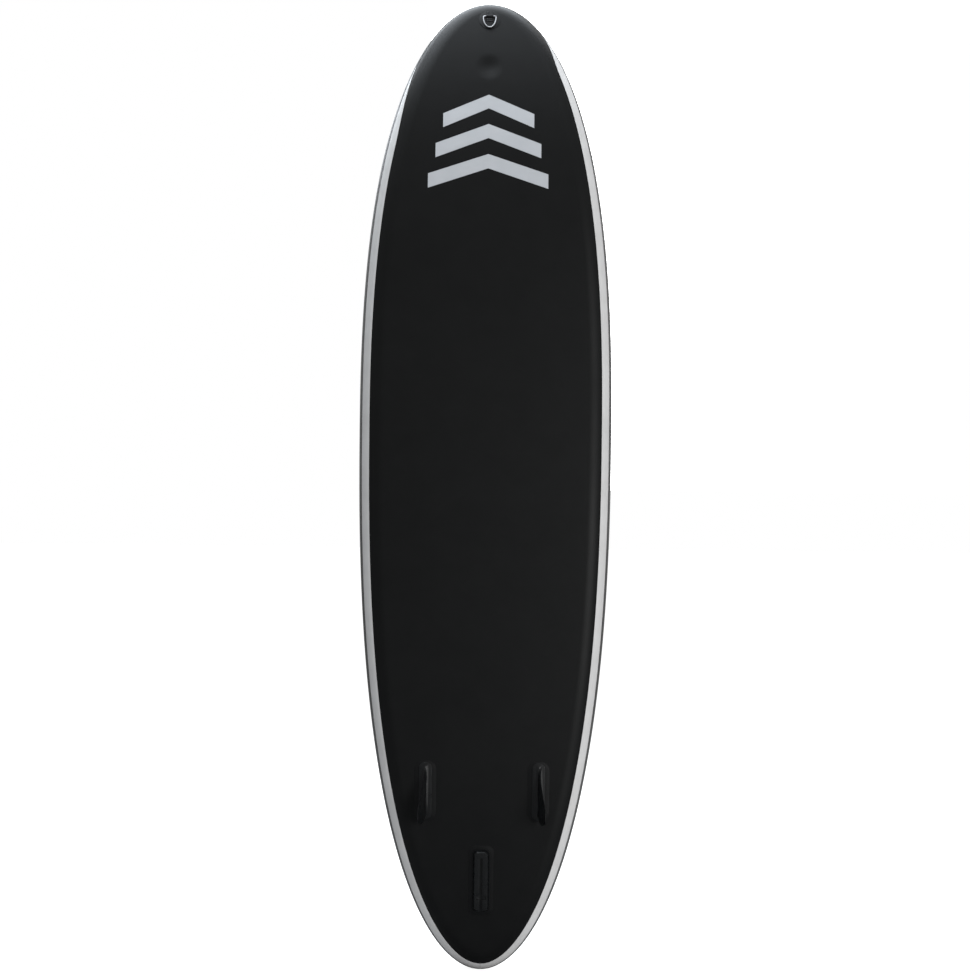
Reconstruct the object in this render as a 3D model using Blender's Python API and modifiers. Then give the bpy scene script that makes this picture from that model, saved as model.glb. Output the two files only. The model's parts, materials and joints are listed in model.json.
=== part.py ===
"""Inflatable stand-up paddle board, upright on its tail: nose up (+Z), hull face towards -Y.

Places on the board are given as across (to port, +X), along (from the tail tip, following the hull)
and level (distance from the board's middle surface, towards the hull or towards the deck).
"""

import math

import bmesh
import bpy
import numpy as np
from mathutils import Matrix, Vector
from mathutils.geometry import delaunay_2d_cdt

MM = 0.001
GAP = 0.3 * MM
MERGE_DISTANCE = 0.01 * MM
SINK = 3 * MM
CUTTER_REACH = 60 * MM
ROUND_STEPS = 24
HULL, DECK = 1, -1
STANDING = Matrix.Rotation(math.pi / 2, 4, "Y") @ Matrix.Rotation(math.pi / 2, 4, "Z")

# Outline and rocker
HULL_LENGTH = 3.220
BOARD_WIDTH = 0.824
WIDEST_POINT = 1.766
NOSE_FULLNESS = 2.43
TAIL_FULLNESS = 2.43
NOSE_LIFT_ANGLE = math.radians(29)
NOSE_LIFT_LENGTH = 1.0
TAIL_LIFT_ANGLE = math.radians(5)
TAIL_LIFT_LENGTH = 0.7
LIFT_POWER = 1.6
LINE_MARGIN = 50 * MM
LINE_STEP = 1 * MM
NOSE_STATIONS = 14
TAIL_STATIONS = 12

# Layers of the inflatable body
BOARD_THICKNESS = 150 * MM
SKIN_THICKNESS = 1.0 * MM
SIDEWALL_THICKNESS = 0.9 * MM
BAND_THICKNESS = 0.9 * MM
SIDEWALL_EDGE_ANGLE = 34
BAND_EDGE_ANGLE = 62
NOSE_WRAP_LENGTH = 0.33
SEAM_WIDTH = 0.6 * MM

# Dimple in the hull, opposite the valve
VALVE_FROM_NOSE = 0.276
DIMPLE_RADIUS = 50 * MM
DIMPLE_DEPTH = 5.5 * MM
DIMPLE_RINGS = 3
DIMPLE_SECTORS = 9

# Rings, their straps and patches
PATCH_THICKNESS = 1.0 * MM
RING_PATCH_RADIUS = 35 * MM
RING_PATCH_OFFSET = 12 * MM
STRAP_THICKNESS = 1.3 * MM
STRAP_WIDTH = 25 * MM
STRAP_LENGTH = 38 * MM
STRAP_WALL = 1.5 * MM
STRAP_CORNER = 4 * MM
RING_WIRE = 5 * MM
RING_WIDTH = 47 * MM
RING_HEIGHT = 50 * MM
RING_CORNER = 5 * MM
NOSE_RING_FROM_NOSE = 0.093
LEASH_RING_ALONG = 0.153
LEASH_RING_TILT = math.radians(1)
FRONT_RING_ACROSS = 0.150
FRONT_RING_ALONG = 2.830
REAR_RING_ACROSS = 0.225
REAR_RING_ALONG = 2.530

# Fin box under the tail
FIN_BOX_ALONG = 0.310
FIN_BOX_LENGTH = 197 * MM
FIN_BOX_WIDTH = 53 * MM
FIN_BOX_HEIGHT = 17 * MM
FIN_BOX_TAPER = 6 * MM
FIN_BOX_CORNER = 14 * MM
FIN_BOX_EDGE = 1.5 * MM
FIN_PATCH_MARGIN = 14 * MM
SLOT_WIDTH = 9.6 * MM
SLOT_DEPTH = 13 * MM
SLOT_FRONT_WALL = 24 * MM
RAIL_GROOVE_WIDTH = 19 * MM
RAIL_GROOVE_HEIGHT = 4.5 * MM
RAIL_GROOVE_LEVEL = 3.5 * MM
KEY_NOTCH_WIDTH = 34 * MM
KEY_NOTCH_LENGTH = 12 * MM
KEY_NOTCH_DEPTH = 6 * MM
KEY_NOTCH_FROM_REAR = 46 * MM

# Side fins
SIDE_FIN_ACROSS = 0.183
SIDE_FIN_FRONT = 0.680
SIDE_FIN_CHORD = 165 * MM
SIDE_FIN_HEIGHT = 100 * MM
SIDE_FIN_TIP_CHORD = 42 * MM
SIDE_FIN_THICKNESS = 7.5 * MM
SIDE_FIN_CANT = math.radians(11)
FIN_FOOT_WIDTH = 42 * MM
FIN_FOOT_THICKNESS = 3 * MM
FIN_FOOT_MARGIN = 9 * MM
FIN_FOOT_PATCH_WIDTH = 70 * MM
FIN_FOOT_PATCH_LENGTH = 194 * MM

# Deck pads
PAD_THICKNESS = 5 * MM
PAD_MARGIN = 95 * MM
PAD_JOINT = 6 * MM
REAR_PAD_START = 0.300
REAR_PAD_LENGTH = 0.500
MIDDLE_PAD_LENGTH = 1.254
FRONT_PAD_LENGTH = 0.334
PAD_REAR_CORNER = 40 * MM
PAD_FRONT_CORNER = 60 * MM
PAD_SIDE_STOPS = 14
GROOVE_WIDTH = 4 * MM
GROOVE_DEPTH = 2.2 * MM
GROOVE_SPACING = 74 * MM
GROOVE_END = 35 * MM
REAR_GROOVES = 5
KICK_LENGTH = 88 * MM
KICK_JOINT = 6 * MM
KICK_HEIGHT = 26 * MM
KICK_FOOT = 6 * MM
KICK_MARGIN = 110 * MM
KICK_END = 18 * MM

# Carry handle at the balance point
HANDLE_ALONG = 1.620
HANDLE_LENGTH = 0.330
HANDLE_WIDTH = 38 * MM
HANDLE_WEB = 2.4 * MM
HANDLE_FOOT = 52 * MM
HANDLE_RISE = 36 * MM
GRIP_LENGTH = 112 * MM
GRIP_WALL = 5 * MM
ANCHOR_LENGTH = 84 * MM
ANCHOR_WIDTH = 76 * MM
ANCHOR_CORNER = 16 * MM
HANDLE_OPENING_MARGIN = 12 * MM

# Inflation valve
VALVE_FLANGE_RADIUS = 31 * MM
VALVE_FLANGE_THICKNESS = 3 * MM
VALVE_FLANGE_EDGE = 1.4 * MM
VALVE_BARREL_RADIUS = 20 * MM
VALVE_BARREL_LENGTH = 26 * MM
VALVE_SOCKET_RADIUS = 17.5 * MM
VALVE_SOCKET_DEPTH = 11 * MM
VALVE_PORT_RADIUS = 10.5 * MM
GUIDE_RADIUS = 4.6 * MM
GUIDE_HEIGHT = 9 * MM
GUIDE_LIFT = 1.5 * MM
BRIDGE_WIDTH = 3 * MM
BRIDGE_HEIGHT = 5.4 * MM
STEM_RADIUS = 2.5 * MM
STEM_TRAVEL = 5 * MM
BUTTON_RADIUS = 6.5 * MM
BUTTON_THICKNESS = 3 * MM
BUTTON_EDGE = 0.8 * MM
BUTTON_RECESS = 2 * MM
STEM_HEAD_RADIUS = 5 * MM
STEM_HEAD_THICKNESS = 2 * MM
SEAL_RADIUS = 14 * MM
SEAL_THICKNESS = 2.5 * MM
SPRING_WIRE = 0.9 * MM
SPRING_RADIUS = 4.3 * MM
SPRING_TURNS = 4.5
NUT_RADIUS = 30 * MM
NUT_THICKNESS = 8 * MM
NUT_NOTCHES = 6
NUT_NOTCH_RADIUS = 4 * MM
POCKET_RADIUS = 34 * MM
POCKET_CLEARANCE = 8 * MM
CAP_RADIUS = 21 * MM
CAP_HEIGHT = 4.2 * MM
CAP_DOME = 0.3 * MM
CAP_EDGE = 1.2 * MM
CAP_PLUG_WALL = 2.6 * MM
CAP_PLUG_DEPTH = 4.6 * MM
CAP_GRIP_WIDTH = 5 * MM
CAP_GRIP_LENGTH = 31.5 * MM
CAP_GRIP_HEIGHT = 5 * MM
GASKET_SIZE = 1.4 * MM
GASKET_DEPTH = 1.0 * MM

SKIN_LEVEL = BOARD_THICKNESS / 2
CORE_LEVEL = SKIN_LEVEL - SKIN_THICKNESS - GAP
SIDEWALL_LEVEL = SKIN_LEVEL + GAP + SIDEWALL_THICKNESS
BAND_LEVEL = SIDEWALL_LEVEL + GAP + BAND_THICKNESS
PATCH_LEVEL = SKIN_LEVEL + GAP + PATCH_THICKNESS
STRAP_LEVEL = PATCH_LEVEL + GAP + STRAP_THICKNESS
PAD_LEVEL = SKIN_LEVEL + GAP + PAD_THICKNESS
VALVE_ALONG = HULL_LENGTH - VALVE_FROM_NOSE
NOSE_RING_ALONG = HULL_LENGTH - NOSE_RING_FROM_NOSE
REAR_PAD = (REAR_PAD_START, REAR_PAD_START + REAR_PAD_LENGTH)
MIDDLE_PAD = (REAR_PAD[1] + PAD_JOINT, REAR_PAD[1] + PAD_JOINT + MIDDLE_PAD_LENGTH)
FRONT_PAD = (MIDDLE_PAD[1] + PAD_JOINT, MIDDLE_PAD[1] + PAD_JOINT + FRONT_PAD_LENGTH)
KICK_PAD = (REAR_PAD_START - KICK_JOINT - KICK_LENGTH, REAR_PAD_START - KICK_JOINT)

COLOURS = {
    "black_pvc": ((0.010, 0.011, 0.012), 0.42, 0.0),
    "grey_pvc": ((0.56, 0.57, 0.57), 0.45, 0.0),
    "dark_grey_pvc": ((0.10, 0.104, 0.108), 0.47, 0.0),
    "drop_stitch": ((0.55, 0.55, 0.52), 0.8, 0.0),
    "steel": ((0.60, 0.60, 0.60), 0.25, 1.0),
    "black_plastic": ((0.015, 0.015, 0.016), 0.4, 0.0),
    "eva_foam": ((0.075, 0.08, 0.085), 0.9, 0.0),
    "eva_foam_light": ((0.16, 0.165, 0.17), 0.9, 0.0),
    "webbing": ((0.02, 0.02, 0.022), 0.85, 0.0),
    "neoprene": ((0.03, 0.03, 0.033), 0.8, 0.0),
    "rubber": ((0.02, 0.02, 0.02), 0.6, 0.0),
}


# Scene set-up


def clear_scene():
    for obj in list(bpy.data.objects):
        bpy.data.objects.remove(obj, do_unlink=True)


def new_collection(name):
    collection = bpy.data.collections.new(name)
    bpy.context.scene.collection.children.link(collection)
    return collection


def material(name, finish):
    """The sub-part's own material, with the colour and roughness of the named finish."""
    colour, roughness, metallic = COLOURS[finish]
    result = bpy.data.materials.new(name)
    result.use_nodes = True
    shader = result.node_tree.nodes["Principled BSDF"]
    shader.inputs["Base Color"].default_value = (*colour, 1.0)
    shader.inputs["Roughness"].default_value = roughness
    shader.inputs["Metallic"].default_value = metallic
    result.diffuse_color = (*colour, 1.0)
    return result


def part(name, mesh, finish, matrix=None):
    """Links a mesh into the model as the sub-part of this name."""
    obj = bpy.data.objects.new(name, mesh)
    mesh.materials.clear()
    mesh.materials.append(material(name, finish))
    if matrix:
        obj.matrix_world = matrix
    BOARD.objects.link(obj)
    return obj


def guide(name, mesh, matrix=None):
    """Links a mesh that only cuts or shapes other pieces."""
    obj = bpy.data.objects.new(name, mesh)
    if matrix:
        obj.matrix_world = matrix
    obj.hide_render = True
    obj.display_type = "WIRE"
    CUTTERS.objects.link(obj)
    return obj


def to_mesh(name, bm):
    mesh = bpy.data.meshes.new(name)
    bm.to_mesh(mesh)
    bm.free()
    return mesh


def smooth(obj, angle=35):
    obj.data.shade_smooth()
    obj.data.set_sharp_from_angle(angle=math.radians(angle))
    return obj


def solidify(obj, thickness):
    """Gives an open surface its thickness, measured inwards from the surface."""
    modifier = obj.modifiers.new("Thickness", "SOLIDIFY")
    modifier.thickness = thickness
    modifier.offset = -1
    modifier.use_even_offset = True


def mirror_halves(obj):
    modifier = obj.modifiers.new("Both sides", "MIRROR")
    modifier.merge_threshold = 2 * MERGE_DISTANCE


def boolean(obj, other, operation):
    modifier = obj.modifiers.new(operation.title(), "BOOLEAN")
    modifier.operation = operation
    modifier.solver = "EXACT"
    modifier.object = other


# The board's shape


def lift_angle(along):
    """Angle of the hull to the board's straight middle part; the nose and the tail bend to the deck."""
    nose = np.clip((along - HULL_LENGTH + NOSE_LIFT_LENGTH) / NOSE_LIFT_LENGTH, 0, None)
    tail = np.clip((TAIL_LIFT_LENGTH - along) / TAIL_LIFT_LENGTH, 0, None)
    return NOSE_LIFT_ANGLE * nose**LIFT_POWER - TAIL_LIFT_ANGLE * tail**LIFT_POWER


def middle_line():
    """Places along the middle surface, from summed short steps: along, y and z, with the tail at 0."""
    along = np.arange(-LINE_MARGIN, HULL_LENGTH + LINE_MARGIN, LINE_STEP)
    angle = lift_angle(along)
    y = np.concatenate([[0], np.cumsum((np.sin(angle[1:]) + np.sin(angle[:-1])) / 2 * LINE_STEP)])
    z = np.concatenate([[0], np.cumsum((np.cos(angle[1:]) + np.cos(angle[:-1])) / 2 * LINE_STEP)])
    return along, y - np.interp(0, along, y), z - np.interp(0, along, z)


LINE_ALONG, LINE_Y, LINE_Z = middle_line()


def place(across, along, level):
    """World position of a place on the board; a negative level is on the deck side."""
    angle = float(lift_angle(along))
    y = float(np.interp(along, LINE_ALONG, LINE_Y)) - level * math.cos(angle)
    z = float(np.interp(along, LINE_ALONG, LINE_Z)) + level * math.sin(angle)
    return Vector((across, y, z))


def outline_half_width(along):
    """Half of the board's width at a distance from the tail tip."""
    if along > WIDEST_POINT:
        reach, fullness = HULL_LENGTH - WIDEST_POINT, NOSE_FULLNESS
    else:
        reach, fullness = WIDEST_POINT, TAIL_FULLNESS
    share = min(1, abs(along - WIDEST_POINT) / reach)
    return BOARD_WIDTH / 2 * math.sqrt(1 - share**fullness)


def stations():
    """The seam line between the flat faces and the round rail, tail tip to nose tip, port side.

    Each station is the seam's point and its outward direction, as (across, along) pairs.
    """
    result = []
    for step in range(-TAIL_STATIONS, NOSE_STATIONS + 1):
        end = 1 if step > 0 else -1
        count = NOSE_STATIONS if step > 0 else TAIL_STATIONS
        reach = HULL_LENGTH - WIDEST_POINT if step > 0 else WIDEST_POINT
        power = 2 / (NOSE_FULLNESS if step > 0 else TAIL_FULLNESS)
        turn = math.pi / 2 * abs(step) / count
        cos, sin = math.cos(turn), math.sin(turn)
        edge = Vector((BOARD_WIDTH / 2 * cos, WIDEST_POINT + end * reach * sin**power))
        outward = Vector((reach * power * cos, end * BOARD_WIDTH / 2 * sin ** (2 - power)))
        outward.normalize()
        seam = edge - BAND_LEVEL * outward
        if abs(step) == count:
            seam.x, outward = 0, Vector((0, end))
        result.append((seam, outward))
    return result


STATIONS = stations()
LAST = len(STATIONS) - 1


def rail_rows():
    """Angles round the rail, from the hull face (0) to the deck face (180)."""
    half = [0, SIDEWALL_EDGE_ANGLE / 2, SIDEWALL_EDGE_ANGLE, (SIDEWALL_EDGE_ANGLE + BAND_EDGE_ANGLE) / 2]
    half += [BAND_EDGE_ANGLE, (BAND_EDGE_ANGLE + 90) / 2]
    return [math.radians(a) for a in (*half, 90, *[180 - a for a in reversed(half)])]


ROWS = rail_rows()
TOP_ROW = len(ROWS) - 1
SIDEWALL_ROW = 2
BAND_ROW = 4
MIDDLE_ROW = TOP_ROW // 2


def nose_wrap_station():
    """The station where the skins start to wrap further round the nose."""
    start = HULL_LENGTH - BAND_LEVEL - NOSE_WRAP_LENGTH
    return next(i for i, (seam, _) in enumerate(STATIONS) if seam.y > start)


def sidewall_row(station):
    """The row where the sidewall's edge lies; at the nose it retreats under the rail band."""
    return min(BAND_ROW, SIDEWALL_ROW + max(0, station - nose_wrap_station() + 1))


def rail_point(station, row, level):
    seam, outward = STATIONS[station]
    out = level * math.sin(ROWS[row])
    return place(seam.x + out * outward.x, seam.y + out * outward.y, level * math.cos(ROWS[row]))


def add_rail(bm, level, allowed, first=0, last=LAST):
    """Adds the faces of the port rail whose corners all satisfy allowed(station, row)."""
    points = {}

    def corner(station, row):
        key = (station, row)
        if key not in points:
            points[key] = bm.verts.new(rail_point(station, row, level))
        return points[key]

    for i in range(first, last):
        for j in range(TOP_ROW):
            a, b, c, d = (i, j), (i, j + 1), (i + 1, j + 1), (i + 1, j)
            pairs = ((a, b, c), (a, c, d)) if j < MIDDLE_ROW else ((a, b, d), (b, c, d))
            for triangle in pairs:
                if all(allowed(*p) for p in triangle):
                    bm.faces.new([corner(*p) for p in triangle])


def dimple(across, along):
    """Depth of the hull's dimple at a place."""
    radius = math.hypot(across, along - VALVE_ALONG)
    if radius >= DIMPLE_RADIUS:
        return 0
    return DIMPLE_DEPTH * math.cos(math.pi / 2 * radius / DIMPLE_RADIUS) ** 2


def add_flat(bm, level, side, first=0, last=LAST, dimpled=False):
    """Adds the port half of a flat face, cut along the lines across the board at each station."""
    points, edges, axis = [], [], []

    def point(x, y):
        points.append(Vector((x, y)))
        if x == 0:
            axis.append(len(points) - 1)
        return len(points) - 1

    previous = None
    for seam, _ in STATIONS[first : last + 1]:
        middle = point(0, seam.y)
        edge = point(seam.x, seam.y) if seam.x > 0 else middle
        if edge != middle:
            edges.append((middle, edge))
        if previous is not None:
            edges.append((previous, edge))
        previous = edge
    if dimpled:
        point(0, VALVE_ALONG)
        for ring in range(1, DIMPLE_RINGS + 1):
            radius = DIMPLE_RADIUS * ring / DIMPLE_RINGS
            turns = [math.pi * (k / DIMPLE_SECTORS - 0.5) for k in range(1, DIMPLE_SECTORS)]
            arc = [point(radius * math.cos(t), VALVE_ALONG + radius * math.sin(t)) for t in turns]
            arc = [point(0, VALVE_ALONG - radius), *arc, point(0, VALVE_ALONG + radius)]
            edges += list(zip(arc, arc[1:]))
    axis.sort(key=lambda i: points[i].y)
    edges += list(zip(axis, axis[1:]))
    verts, _, faces, *_ = delaunay_2d_cdt(points, edges, [], 1, 1e-6)
    corners = [
        bm.verts.new(place(v.x, v.y, side * (level - (dimple(v.x, v.y) if dimpled else 0)))) for v in verts
    ]
    for face in faces:
        ordered = [corners[i] for i in face]
        made = bm.faces.new(ordered)
        made.normal_update()
        if made.normal.y * side > 0:
            made.normal_flip()


def close_joins(bm):
    bmesh.ops.remove_doubles(bm, verts=bm.verts[:], dist=MERGE_DISTANCE)


def envelope(name, level, dimpled=False):
    """The port half of the whole board's closed shape at a level, both halves from a mirror."""
    bm = bmesh.new()
    add_rail(bm, level, lambda station, row: True)
    add_flat(bm, level, HULL, dimpled=dimpled)
    add_flat(bm, level, DECK)
    close_joins(bm)
    return to_mesh(name, bm)


def seat_frame(across, along, level, side):
    """Frame on the flat face: x across, y towards the nose, z out of the face."""
    knots = [seam.y for seam, _ in STATIONS]
    after = next((k for k in range(1, len(knots)) if knots[k] >= along), len(knots) - 1)
    low = place(across, knots[after - 1], side * level)
    high = place(across, knots[after], side * level)
    forward = (high - low).normalized()
    share = (along - knots[after - 1]) / (knots[after] - knots[after - 1])
    across_axis = Vector((side, 0, 0))
    frame = Matrix((across_axis, forward, across_axis.cross(forward))).transposed().to_4x4()
    frame.translation = low.lerp(high, share)
    return frame


# Shapes in a piece's own frame


def prism(name, outline, low, high, matrix=None):
    """A guide: an outline of (x, y) points, extruded from low to high."""
    return guide(name, extruded(name, outline, low, high), matrix)


def bridge(bm, loops):
    """Closes a stack of loops, each with as many points, into a solid."""
    for low, high in zip(loops, loops[1:]):
        for k in range(len(low)):
            n = (k + 1) % len(low)
            bm.faces.new((low[k], low[n], high[n], high[k]))
    bm.faces.new(loops[0])
    bm.faces.new(loops[-1])
    bmesh.ops.recalc_face_normals(bm, faces=bm.faces[:])


def extruded(name, outline, low, high):
    """A solid mesh: an outline of (x, y) points, extruded from low to high."""
    bm = bmesh.new()
    bridge(bm, [[bm.verts.new((x, y, z)) for x, y in outline] for z in (low, high)])
    return to_mesh(name, bm)


def circle_outline(radius, count=ROUND_STEPS, centre=(0, 0)):
    turns = [2 * math.pi * k / count for k in range(count)]
    return [(centre[0] + radius * math.cos(t), centre[1] + radius * math.sin(t)) for t in turns]


def rounded_rectangle(width, length, corner, count=5, centre=(0, 0)):
    """Outline of a rectangle whose corners are arcs of count points."""
    x, y = width / 2 - corner, length / 2 - corner
    points = []
    for quarter, (cx, cy) in enumerate(((x, y), (-x, y), (-x, -y), (x, -y))):
        for k in range(count):
            t = math.pi / 2 * (quarter + k / (count - 1))
            points.append((centre[0] + cx + corner * math.cos(t), centre[1] + cy + corner * math.sin(t)))
    return points


def box_mesh(name, size, centre):
    bm = bmesh.new()
    bmesh.ops.create_cube(bm, size=1)
    bmesh.ops.scale(bm, vec=size, verts=bm.verts[:])
    bmesh.ops.translate(bm, vec=centre, verts=bm.verts[:])
    return to_mesh(name, bm)


def cylinder_mesh(name, radius, low, high, steps=ROUND_STEPS, turn=None):
    """A cylinder along z from low to high, or along another axis after the turn."""
    bm = bmesh.new()
    bmesh.ops.create_cone(
        bm, cap_ends=True, segments=steps, radius1=radius, radius2=radius, depth=high - low
    )
    bmesh.ops.translate(bm, vec=(0, 0, (low + high) / 2), verts=bm.verts[:])
    if turn:
        bmesh.ops.transform(bm, matrix=turn, verts=bm.verts[:])
    return to_mesh(name, bm)


def turned(name, profile, finish, matrix, steps=ROUND_STEPS, closed=True):
    """A turned piece: the profile of (radius, height) points goes round the z axis."""
    bm = bmesh.new()
    verts = [bm.verts.new((r, 0, z)) for r, z in profile]
    for a, b in zip(verts, verts[1:]):
        bm.edges.new((a, b))
    if closed:
        bm.edges.new((verts[-1], verts[0]))
    obj = part(name, to_mesh(name, bm), finish, matrix)
    screw = obj.modifiers.new("Turn", "SCREW")
    screw.steps = screw.render_steps = steps
    screw.use_merge_vertices = True
    screw.merge_threshold = MERGE_DISTANCE
    return obj


# The inflatable body


def layer(name, finish, level, thickness, side, outline, frame, reach):
    """A sheet that lies on the board: part of the surface at a level, cut to an outline in a frame."""
    first, last = nearby_stations(frame, reach)
    bm = bmesh.new()
    rows = (0, BAND_ROW) if side == HULL else (TOP_ROW - BAND_ROW, TOP_ROW)
    add_rail(bm, level, lambda station, row: rows[0] <= row <= rows[1], first, last)
    add_flat(bm, level, side, first, last)
    close_joins(bm)
    obj = part(name, to_mesh(name, bm), finish)
    mirror_halves(obj)
    solidify(obj, thickness)
    boolean(obj, prism(name + "_outline", outline, -CUTTER_REACH, CUTTER_REACH, frame), "INTERSECT")
    return obj


def nearby_stations(frame, reach):
    """First and last station of a stretch that holds everything within reach of a frame."""
    low, high = frame.translation.z - reach, frame.translation.z + reach
    heights = [place(0, seam.y, 0).z for seam, _ in STATIONS]
    first = max((i for i, z in enumerate(heights) if z < low), default=0)
    last = min((i for i, z in enumerate(heights) if z > high), default=LAST)
    return first, last


def make_core():
    obj = part("drop_stitch_core", envelope("drop_stitch_core", CORE_LEVEL, dimpled=True), "drop_stitch")
    mirror_halves(obj)
    depth = VALVE_BARREL_LENGTH + SEAL_THICKNESS + STEM_TRAVEL + POCKET_CLEARANCE
    pocket = cylinder_mesh("valve_pocket", POCKET_RADIUS, -depth, CUTTER_REACH)
    boolean(obj, guide("valve_pocket", pocket, VALVE_FRAME), "DIFFERENCE")


def make_skins():
    for name, side in (("bottom_skin", HULL), ("deck_skin", DECK)):
        bm = bmesh.new()
        if side == HULL:
            add_rail(bm, SKIN_LEVEL, lambda station, row: row <= BAND_ROW)
        else:
            add_rail(bm, SKIN_LEVEL, lambda station, row: row >= TOP_ROW - BAND_ROW)
        add_flat(bm, SKIN_LEVEL, side, dimpled=side == HULL)
        close_joins(bm)
        obj = part(name, to_mesh(name, bm), "black_pvc")
        mirror_halves(obj)
        solidify(obj, SKIN_THICKNESS)
        if side == DECK:
            hole = cylinder_mesh("valve_hole", VALVE_BARREL_RADIUS + GAP, -CUTTER_REACH, CUTTER_REACH)
            boolean(obj, guide("valve_hole", hole, VALVE_FRAME), "DIFFERENCE")


def make_strips():
    """The sidewalls and the rail bands, one to port and one to starboard, with a seam at each tip."""

    def in_sidewall(station, row):
        return sidewall_row(station) <= row <= TOP_ROW - sidewall_row(station)

    def in_band(station, row):
        return BAND_ROW <= row <= TOP_ROW - BAND_ROW

    strips = (
        ("sidewall", SIDEWALL_LEVEL, SIDEWALL_THICKNESS, in_sidewall, "grey_pvc"),
        ("rail_band", BAND_LEVEL, BAND_THICKNESS, in_band, "dark_grey_pvc"),
    )
    for name, level, thickness, allowed, finish in strips:
        for suffix, sign in (("port", 1), ("starboard", -1)):
            bm = bmesh.new()
            add_rail(bm, level, allowed)
            for vert in bm.verts:
                vert.co.x = sign * max(vert.co.x, SEAM_WIDTH / 2)
            if sign < 0:
                bmesh.ops.reverse_faces(bm, faces=bm.faces[:])
            obj = part(f"{name}_{suffix}", to_mesh(name, bm), finish)
            solidify(obj, thickness)


# Rings with their straps and patches


def ring_points():
    """Shield form: a straight bar at y = 0, rounded corners and half an oval towards the tail."""
    half = (RING_WIDTH - RING_WIRE) / 2
    depth = RING_HEIGHT - RING_WIRE
    turns = [math.pi / 2 * (1 - k / 2) for k in range(3)]
    corner = [(half - RING_CORNER * (1 - math.cos(t)), -RING_CORNER * (1 - math.sin(t))) for t in turns]
    turns = [math.pi * k / 8 for k in range(1, 8)]
    end = [(half * math.cos(t), -RING_CORNER - (depth - RING_CORNER) * math.sin(t)) for t in turns]
    return corner + end + [(-x, y) for x, y in reversed(corner)]


def make_ring(name, frame, tilt):
    """The wire ring, on its bar's axis, tilted off the surface."""
    curve = bpy.data.curves.new(name, "CURVE")
    curve.dimensions = "3D"
    curve.bevel_depth = RING_WIRE / 2
    curve.bevel_resolution = 2
    curve.render_resolution_u = 0
    spline = curve.splines.new("POLY")
    points = ring_points()
    spline.points.add(len(points) - 1)
    for point, (x, y) in zip(spline.points, points):
        point.co = (x, y, 0, 1)
    spline.use_cyclic_u = True
    obj = bpy.data.objects.new(name, curve)
    curve.materials.append(material(name, "steel"))
    obj.matrix_world = frame @ Matrix.Rotation(-tilt, 4, "X")
    BOARD.objects.link(obj)


def bar_height():
    """Height of a ring's bar over its patch."""
    return RING_WIRE / 2 + GAP


def strap_arch():
    """Section of the strap's loop over the bar, as (along, up) points over the patch."""
    outer = bar_height() + STRAP_WALL
    foot = GAP + STRAP_THICKNESS / 3
    turns = [math.pi * k / 8 for k in range(9)]
    arc = [(outer * math.cos(t), bar_height() + outer * math.sin(t)) for t in turns]
    return [(outer, foot), *arc, (-outer, foot)]


def make_ring_set(prefix, across, along, side, hangs=False, tilt=0.0):
    """A patch glued to the skin, a strap welded to the patch and the ring that the strap holds.

    The ring lies at a tilt over its patch, or hangs plumb where the face leans over it.
    """
    patch_frame = seat_frame(across, along - RING_PATCH_OFFSET, SKIN_LEVEL, side)
    reach = RING_PATCH_RADIUS * 2
    outline = circle_outline(RING_PATCH_RADIUS)
    layer(f"{prefix}_patch", "black_pvc", PATCH_LEVEL, PATCH_THICKNESS, side, outline, patch_frame, reach)
    seat = seat_frame(across, along, PATCH_LEVEL, side)
    outline = rounded_rectangle(STRAP_WIDTH, STRAP_LENGTH, STRAP_CORNER, 4)
    strap = layer(f"{prefix}_strap", "webbing", STRAP_LEVEL, STRAP_THICKNESS, side, outline, seat, reach)
    arch = prism(f"{prefix}_arch", strap_arch(), -STRAP_WIDTH / 2, STRAP_WIDTH / 2, seat @ STANDING)
    boolean(strap, arch, "UNION")
    bar = seat @ Matrix.Translation((0, 0, bar_height()))
    lying = Matrix.Rotation(math.pi / 2, 4, "Y")
    bore = cylinder_mesh("bore", bar_height(), -STRAP_WIDTH, STRAP_WIDTH, 16, lying)
    boolean(strap, guide(f"{prefix}_bore", bore, bar), "DIFFERENCE")
    if hangs:
        tilt = math.atan2(seat.col[1].y, seat.col[1].z)
    make_ring(f"{prefix}_d_ring", bar, tilt)


def make_rings():
    make_ring_set("nose", 0, NOSE_RING_ALONG, HULL)
    make_ring_set("leash", 0, LEASH_RING_ALONG, DECK, tilt=LEASH_RING_TILT)
    for suffix, sign in (("port", 1), ("starboard", -1)):
        make_ring_set(f"deck_front_{suffix}", sign * FRONT_RING_ACROSS, FRONT_RING_ALONG, DECK, hangs=True)
        make_ring_set(f"deck_rear_{suffix}", sign * REAR_RING_ACROSS, REAR_RING_ALONG, DECK, hangs=True)


# Fins


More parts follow.
